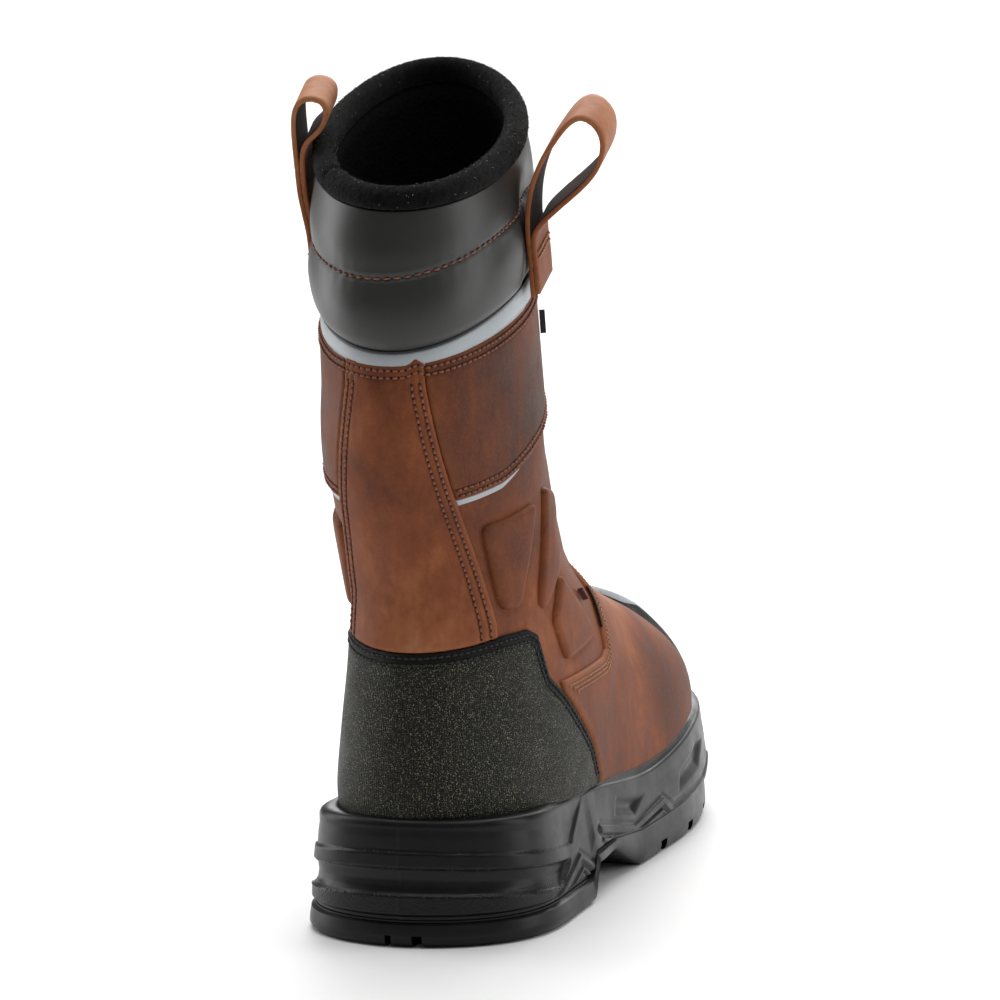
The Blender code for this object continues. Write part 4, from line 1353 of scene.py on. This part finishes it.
def side_height(theta, share):
    x = sole_outline(theta)[..., 0]
    low = tread(x, "split") + 0.05
    return low + (lip_height(x) - low) * share


def make_midsole():
    theta = sole_angles(430)
    count = len(theta)
    share = np.concatenate([np.linspace(0, 0.95, 66), (0.965, 0.98, 0.99, 1.0)])
    grid_theta, grid_share = np.meshgrid(theta, share)
    z = side_height(grid_theta, grid_share)
    grow = side_growth(grid_theta, grid_share, z)
    flat = sole_outline(grid_theta) + sole_out(grid_theta) * grow[..., None]
    side = np.concatenate([flat, z[..., None]], axis=-1)
    lip = skin(theta, LIP_T, 0.9)
    crest = 0.5 * (side[-1] + lip) + (0, 0, 0.5)
    seat = skin(theta, 0.0, 0.35)
    points = np.concatenate([side, crest[None], lip[None], seat[None]]).reshape(-1, 3)
    faces = bridged_faces(len(share) + 3, count)
    x = sole_outline(grid_theta)[..., 0]
    dotted = ((grid_share > 0.07) & (grid_share < 0.26)) * (1 - smooth_step(x, 55, 75))
    zig = line_distance(np.stack([x, z], axis=-1), RIBS[2][0]) < 1.5
    dotted = np.maximum(dotted, zig & (x > 95))
    dotted = np.concatenate([dotted.ravel(), np.zeros(3 * count)])
    item = add_piece("midsole_rubber", points, faces, [RUBBER], ["midsole"], {"dotted": dotted})
    face_outwards(item.data)
    make_pinholes()


def make_pinholes():
    """Tiny vent marks along the ribs of the heel."""
    theta = np.concatenate([DRAW.uniform(-0.75, 0.75, PINHOLES) for _ in PINHOLE_ROWS])
    share = np.repeat(PINHOLE_ROWS, PINHOLES) - heel_dip(sole_outline(theta)[:, 0])
    z = side_height(theta, share)
    out = sole_out(theta)
    flat = sole_outline(theta) + out * side_growth(theta, share, z)[:, None]
    normals = np.column_stack([out, np.zeros(len(out))])
    points, faces = dots_mesh(np.column_stack([flat, z]), normals, 0.45, 0.5)
    add_piece("sole_pinholes", points, faces, [PIPING], None)


def heel_mix(x, heel, fore):
    return heel + (fore - heel) * smooth_step(x, *HEEL_TO_FORE)


def box_points(x, length, inner, outer, turn, side, low, high):
    slope = math.tan(math.radians(turn))
    points = []
    for z in (low, high):
        for along, across in ((-1, inner), (1, inner), (1, outer), (-1, outer)):
            points.append((x + along * length / 2 - slope * (across - inner), side * across, z))
    return points


BOX_FACES = [(0, 1, 2, 3), (7, 6, 5, 4), (0, 4, 5, 1), (1, 5, 6, 2), (2, 6, 7, 3), (3, 7, 4, 0)]


def lug_cutter():
    points = []
    for x, length, inner, outer, turn in LUGS:
        for side in (-1, 1):
            high = float(tread(x, "floor")) + LUG_DEPTH
            points += box_points(x, length, inner, outer, turn, side, CUT_LOW, high)
    for y, wide in NOTCHES:
        points += [(NOTCH_X[i], y + wide * j / 2, z) for z in (CUT_LOW, NOTCH_DEPTH)
                   for i, j in ((0, -1), (1, -1), (1, 1), (0, 1))]
    faces = [[8 * k + index for index in face] for k in range(len(points) // 8) for face in BOX_FACES]
    mesh = bpy.data.meshes.new("lug_cutter")
    mesh.from_pydata(((np.array(points) + SHIFT) * MM).tolist(), [], faces)
    face_outwards(mesh)
    cutter = bpy.data.objects.new("lug_cutter", mesh)
    bpy.context.scene.collection.objects.link(cutter)
    return cutter


def make_outsole():
    theta = sole_angles(220)
    x = sole_outline(theta)[:, 0]
    low, high = tread(x, "floor"), tread(x, "split")
    rings = []
    for rise, heel, fore in OUTSOLE:
        flat = sole_outline(theta) + sole_out(theta) * heel_mix(x, heel, fore)[:, None]
        rings.append(np.column_stack([flat, low + (high - low) * rise]))
    faces = bridged_faces(len(rings), len(theta))
    item = add_piece("outsole_rubber", np.concatenate(rings), faces, [RUBBER], ["outsole"])
    face_outwards(item.data)
    cutter = lug_cutter()
    modifier = item.modifiers.new("lugs", "BOOLEAN")
    modifier.operation = "DIFFERENCE"
    modifier.solver = "EXACT"
    modifier.object = cutter
    graph = bpy.context.evaluated_depsgraph_get()
    item.data = bpy.data.meshes.new_from_object(item.evaluated_get(graph))
    item.modifiers.clear()
    bpy.data.objects.remove(cutter, do_unlink=True)
    item.data.polygons.foreach_set("use_smooth", np.ones(len(item.data.polygons), bool))
    item.data.set_sharp_from_angle(angle=math.radians(40))


def make_insole():
    theta = sole_angles(90)
    wall = skin(theta, 0.02, -WALL - 0.4)
    low = skin(theta, 0.0, -WALL - 0.4)
    low[:, 2] = boot_point(theta, 0.0)[:, 2] + 0.1
    soft = wall + (wall.mean(axis=0) - wall) * (0.06, 0.06, 0) - (0, 0, 0.8)
    rings = np.concatenate([low, wall, soft])
    faces = bridged_faces(3, len(theta))
    item = add_piece("insole_felt", rings, faces, [FELT], ["insole"])
    face_outwards(item.data)


# Pull loops and tabs


def loop_base(theta):
    """Foot of a loop on the cuff, and the directions out from it, along it and up."""
    along = unit(boot_point(theta + EPS, LOOP_T) - boot_point(theta - EPS, LOOP_T))
    outward = boot_normal(theta, LOOP_T) * (1, 1, 0)
    outward = unit(outward - along * (outward @ along))
    near = np.linspace(theta - 0.3, theta + 0.3, 41)
    grid_theta, grid_t = np.meshgrid(near, CUFF[:, 0])
    deep, wide = LOOP_PRESS
    sides = np.minimum(np.abs(grid_theta - LOOP_THETA), np.abs(grid_theta - 2 * PI + LOOP_THETA))
    sewn = 1 - smooth_step(grid_t, CUFF[4, 0], CUFF[6, 0])
    out = CUFF[:, 1][:, None] * (1 - deep * sewn * np.exp(-(sides / wide) ** 2))
    places = skin(grid_theta, grid_t, out).reshape(-1, 3)
    middle = boot_point(theta, LOOP_T)
    beside = np.abs((places - middle) @ along) < LOOP_WIDTH / 2 + 2
    level = (places[:, 2] > LOOP_LEVELS[0]) & (places[:, 2] < LOOP_LEVELS[1])
    reach = ((places - middle) @ outward)[beside & level].max()
    return middle + outward * (reach + GAP), outward, along, np.cross(outward, along)


def loop_sink(side, up):
    """How far the sewn-down part of a loop presses into the padding."""
    return LOOP_SINK[side] * (1 - smooth_step(up, *LOOP_SINK_LEVELS))


def make_loop(side, path):
    theta = LOOP_THETA if side == "right" else 2 * PI - LOOP_THETA
    base, outward, along, upward = loop_base(theta)
    fine = smooth_line(path, 150)
    fine[:, 0] -= loop_sink(side, fine[:, 1])
    line = base + outward * fine[:, :1] + upward * fine[:, 1:]
    run = unit(np.gradient(line, axis=0))
    thick = unit(np.cross(run, along))
    width = LOOP_WIDTH / 2 + DRAW.normal(0, 0.12, (2, len(line)))
    section_points = []
    for u, v in LOOP_SECTION:
        reach = width[0 if u < 0 else 1]
        section_points.append(line + along * (u * reach)[:, None] + thick * (v * LOOP_THICK))
    count = len(section_points)
    points = np.stack(section_points, axis=1).reshape(-1, 3)
    faces = strap_faces(len(line), count)
    edge = np.zeros(count)
    edge[[0, 1, 7, 8, 9, 10, 16, 17]] = 0.6
    tone_and_light = 0.20 * smooth_step(fine[:, 1], 0, 40)
    marks = {"wear": np.tile(edge, len(line)), "tone_and_light": np.repeat(tone_and_light, count)}
    inner_side = np.zeros(count, int)
    inner_side[1:7] = 1
    picks = np.concatenate([np.tile(inner_side, len(line) - 1), (0, 0)])
    name = "pull_loop_" + side
    item = add_piece(name + "_leather", points, faces, [LEATHER, SUEDE], [name], marks, picks)
    face_outwards(item.data)
    tack = Thread(*THREADS["tack"])
    at = np.linspace(-LOOP_WIDTH / 2 + 1.5, LOOP_WIDTH / 2 - 1.5, 10)
    for height in LOOP_TACKS:
        out = 2.7 + LOOP_THICK / 2 - loop_sink(side, height)
        places = base + outward * out + along * at[:, None] + upward * height
        tack.sew(places, np.tile(outward, (len(at), 1)))
    tack.finish("loop_tack_" + side, TAN_THREAD, "leather")


def make_tab(name, degrees, t, start, along, out, up):
    theta = math.radians(degrees)
    outward = boot_normal(theta, t)
    upward = unit(boot_point(theta, t + EPS) - boot_point(theta, t))
    across = np.cross(upward, outward)
    base = boot_point(theta, t) + outward * start
    points = []
    for height in (0.0, up):
        for reach, offset in ((0, 0), (out, 0), (out, along), (0, along)):
            points.append(base + outward * reach + across * offset + upward * height)
    material = RED_CLOTH if name == "instep_tab" else PIPING
    item = add_piece(name + "_cloth", points, BOX_FACES, [material], [name])
    face_outwards(item.data)
    item.data.set_sharp_from_angle(angle=math.radians(30))


# Floor, light and camera


def make_stage():
    mesh = bpy.data.meshes.new("floor")
    mesh.from_pydata([(-6, -6, 0), (6, -6, 0), (6, 6, 0), (-6, 6, 0)], [], [(0, 1, 2, 3)])
    floor = bpy.data.objects.new("floor", mesh)
    mesh.materials.append(plain_finish("pale_floor", srgb(244, 244, 244), srgb(247, 247, 247), 0.6, 3, 0.0))
    bpy.context.scene.collection.objects.link(floor)
    world = bpy.data.worlds.new("studio")
    world.use_nodes = True
    world.node_tree.nodes["Background"].inputs["Color"].default_value = (1.0, 1.0, 1.0, 1.0)
    world.node_tree.nodes["Background"].inputs["Strength"].default_value = WORLD_LIGHT
    bpy.context.scene.world = world
    bpy.context.scene.view_settings.view_transform = "Standard"
    for name, place, size, power in LIGHTS:
        light = bpy.data.lights.new(name, "AREA")
        light.shape = "RECTANGLE"
        light.size, light.size_y = size
        light.energy = power
        lamp = bpy.data.objects.new(name, light)
        ahead = unit(np.subtract(LIGHT_TARGET, place))
        right = unit(np.cross(ahead, (0, 1.0, 0) if abs(ahead[2]) > 0.99 else (0, 0, 1.0)))
        lamp.matrix_world = axes_matrix(right, np.cross(right, ahead), -ahead, place)
        bpy.context.scene.collection.objects.link(lamp)


def axes_matrix(right, upward, back, place):
    matrix = Matrix.Identity(4)
    for row in range(3):
        for column, axis in enumerate((right, upward, back, place)):
            matrix[row][column] = float(axis[row])
    return matrix


def make_camera():
    azimuth, elevation, roll = (math.radians(CAMERA[key]) for key in ("azimuth", "elevation", "roll"))
    flat = np.array([math.cos(azimuth), math.sin(azimuth), 0])
    side = np.array([math.sin(azimuth), -math.cos(azimuth), 0])
    ahead = flat * math.cos(elevation) - np.array([0, 0, 1.0]) * math.sin(elevation)
    up = np.cross(side, ahead)
    right = side * math.cos(roll) - up * math.sin(roll)
    upward = up * math.cos(roll) + side * math.sin(roll)
    scale = CAMERA["distance"] / CAMERA["focal"]
    place = np.array(CAMERA_POINT) - ahead * CAMERA["distance"]
    place = place - right * (CAMERA_PIXEL[0] - IMAGE_SIZE / 2) * scale
    place = place - upward * (IMAGE_SIZE / 2 - CAMERA_PIXEL[1]) * scale
    data = bpy.data.cameras.new("camera")
    data.sensor_width = SENSOR
    data.lens = CAMERA["focal"] * SENSOR / IMAGE_SIZE
    data.clip_end = 50.0
    camera = bpy.data.objects.new("camera", data)
    camera.matrix_world = axes_matrix(right, upward, -ahead, (place + SHIFT) * MM)
    bpy.context.scene.collection.objects.link(camera)
    bpy.context.scene.camera = camera


make_camera()
make_stage()
make_upper()
make_overlays()
sew_upper()
make_cuff()
make_band()
make_binding()
make_midsole()
make_outsole()
make_insole()
for loop_side, loop_path in LOOPS.items():
    make_loop(loop_side, loop_path)
for tab in TABS:
    make_tab(*tab)
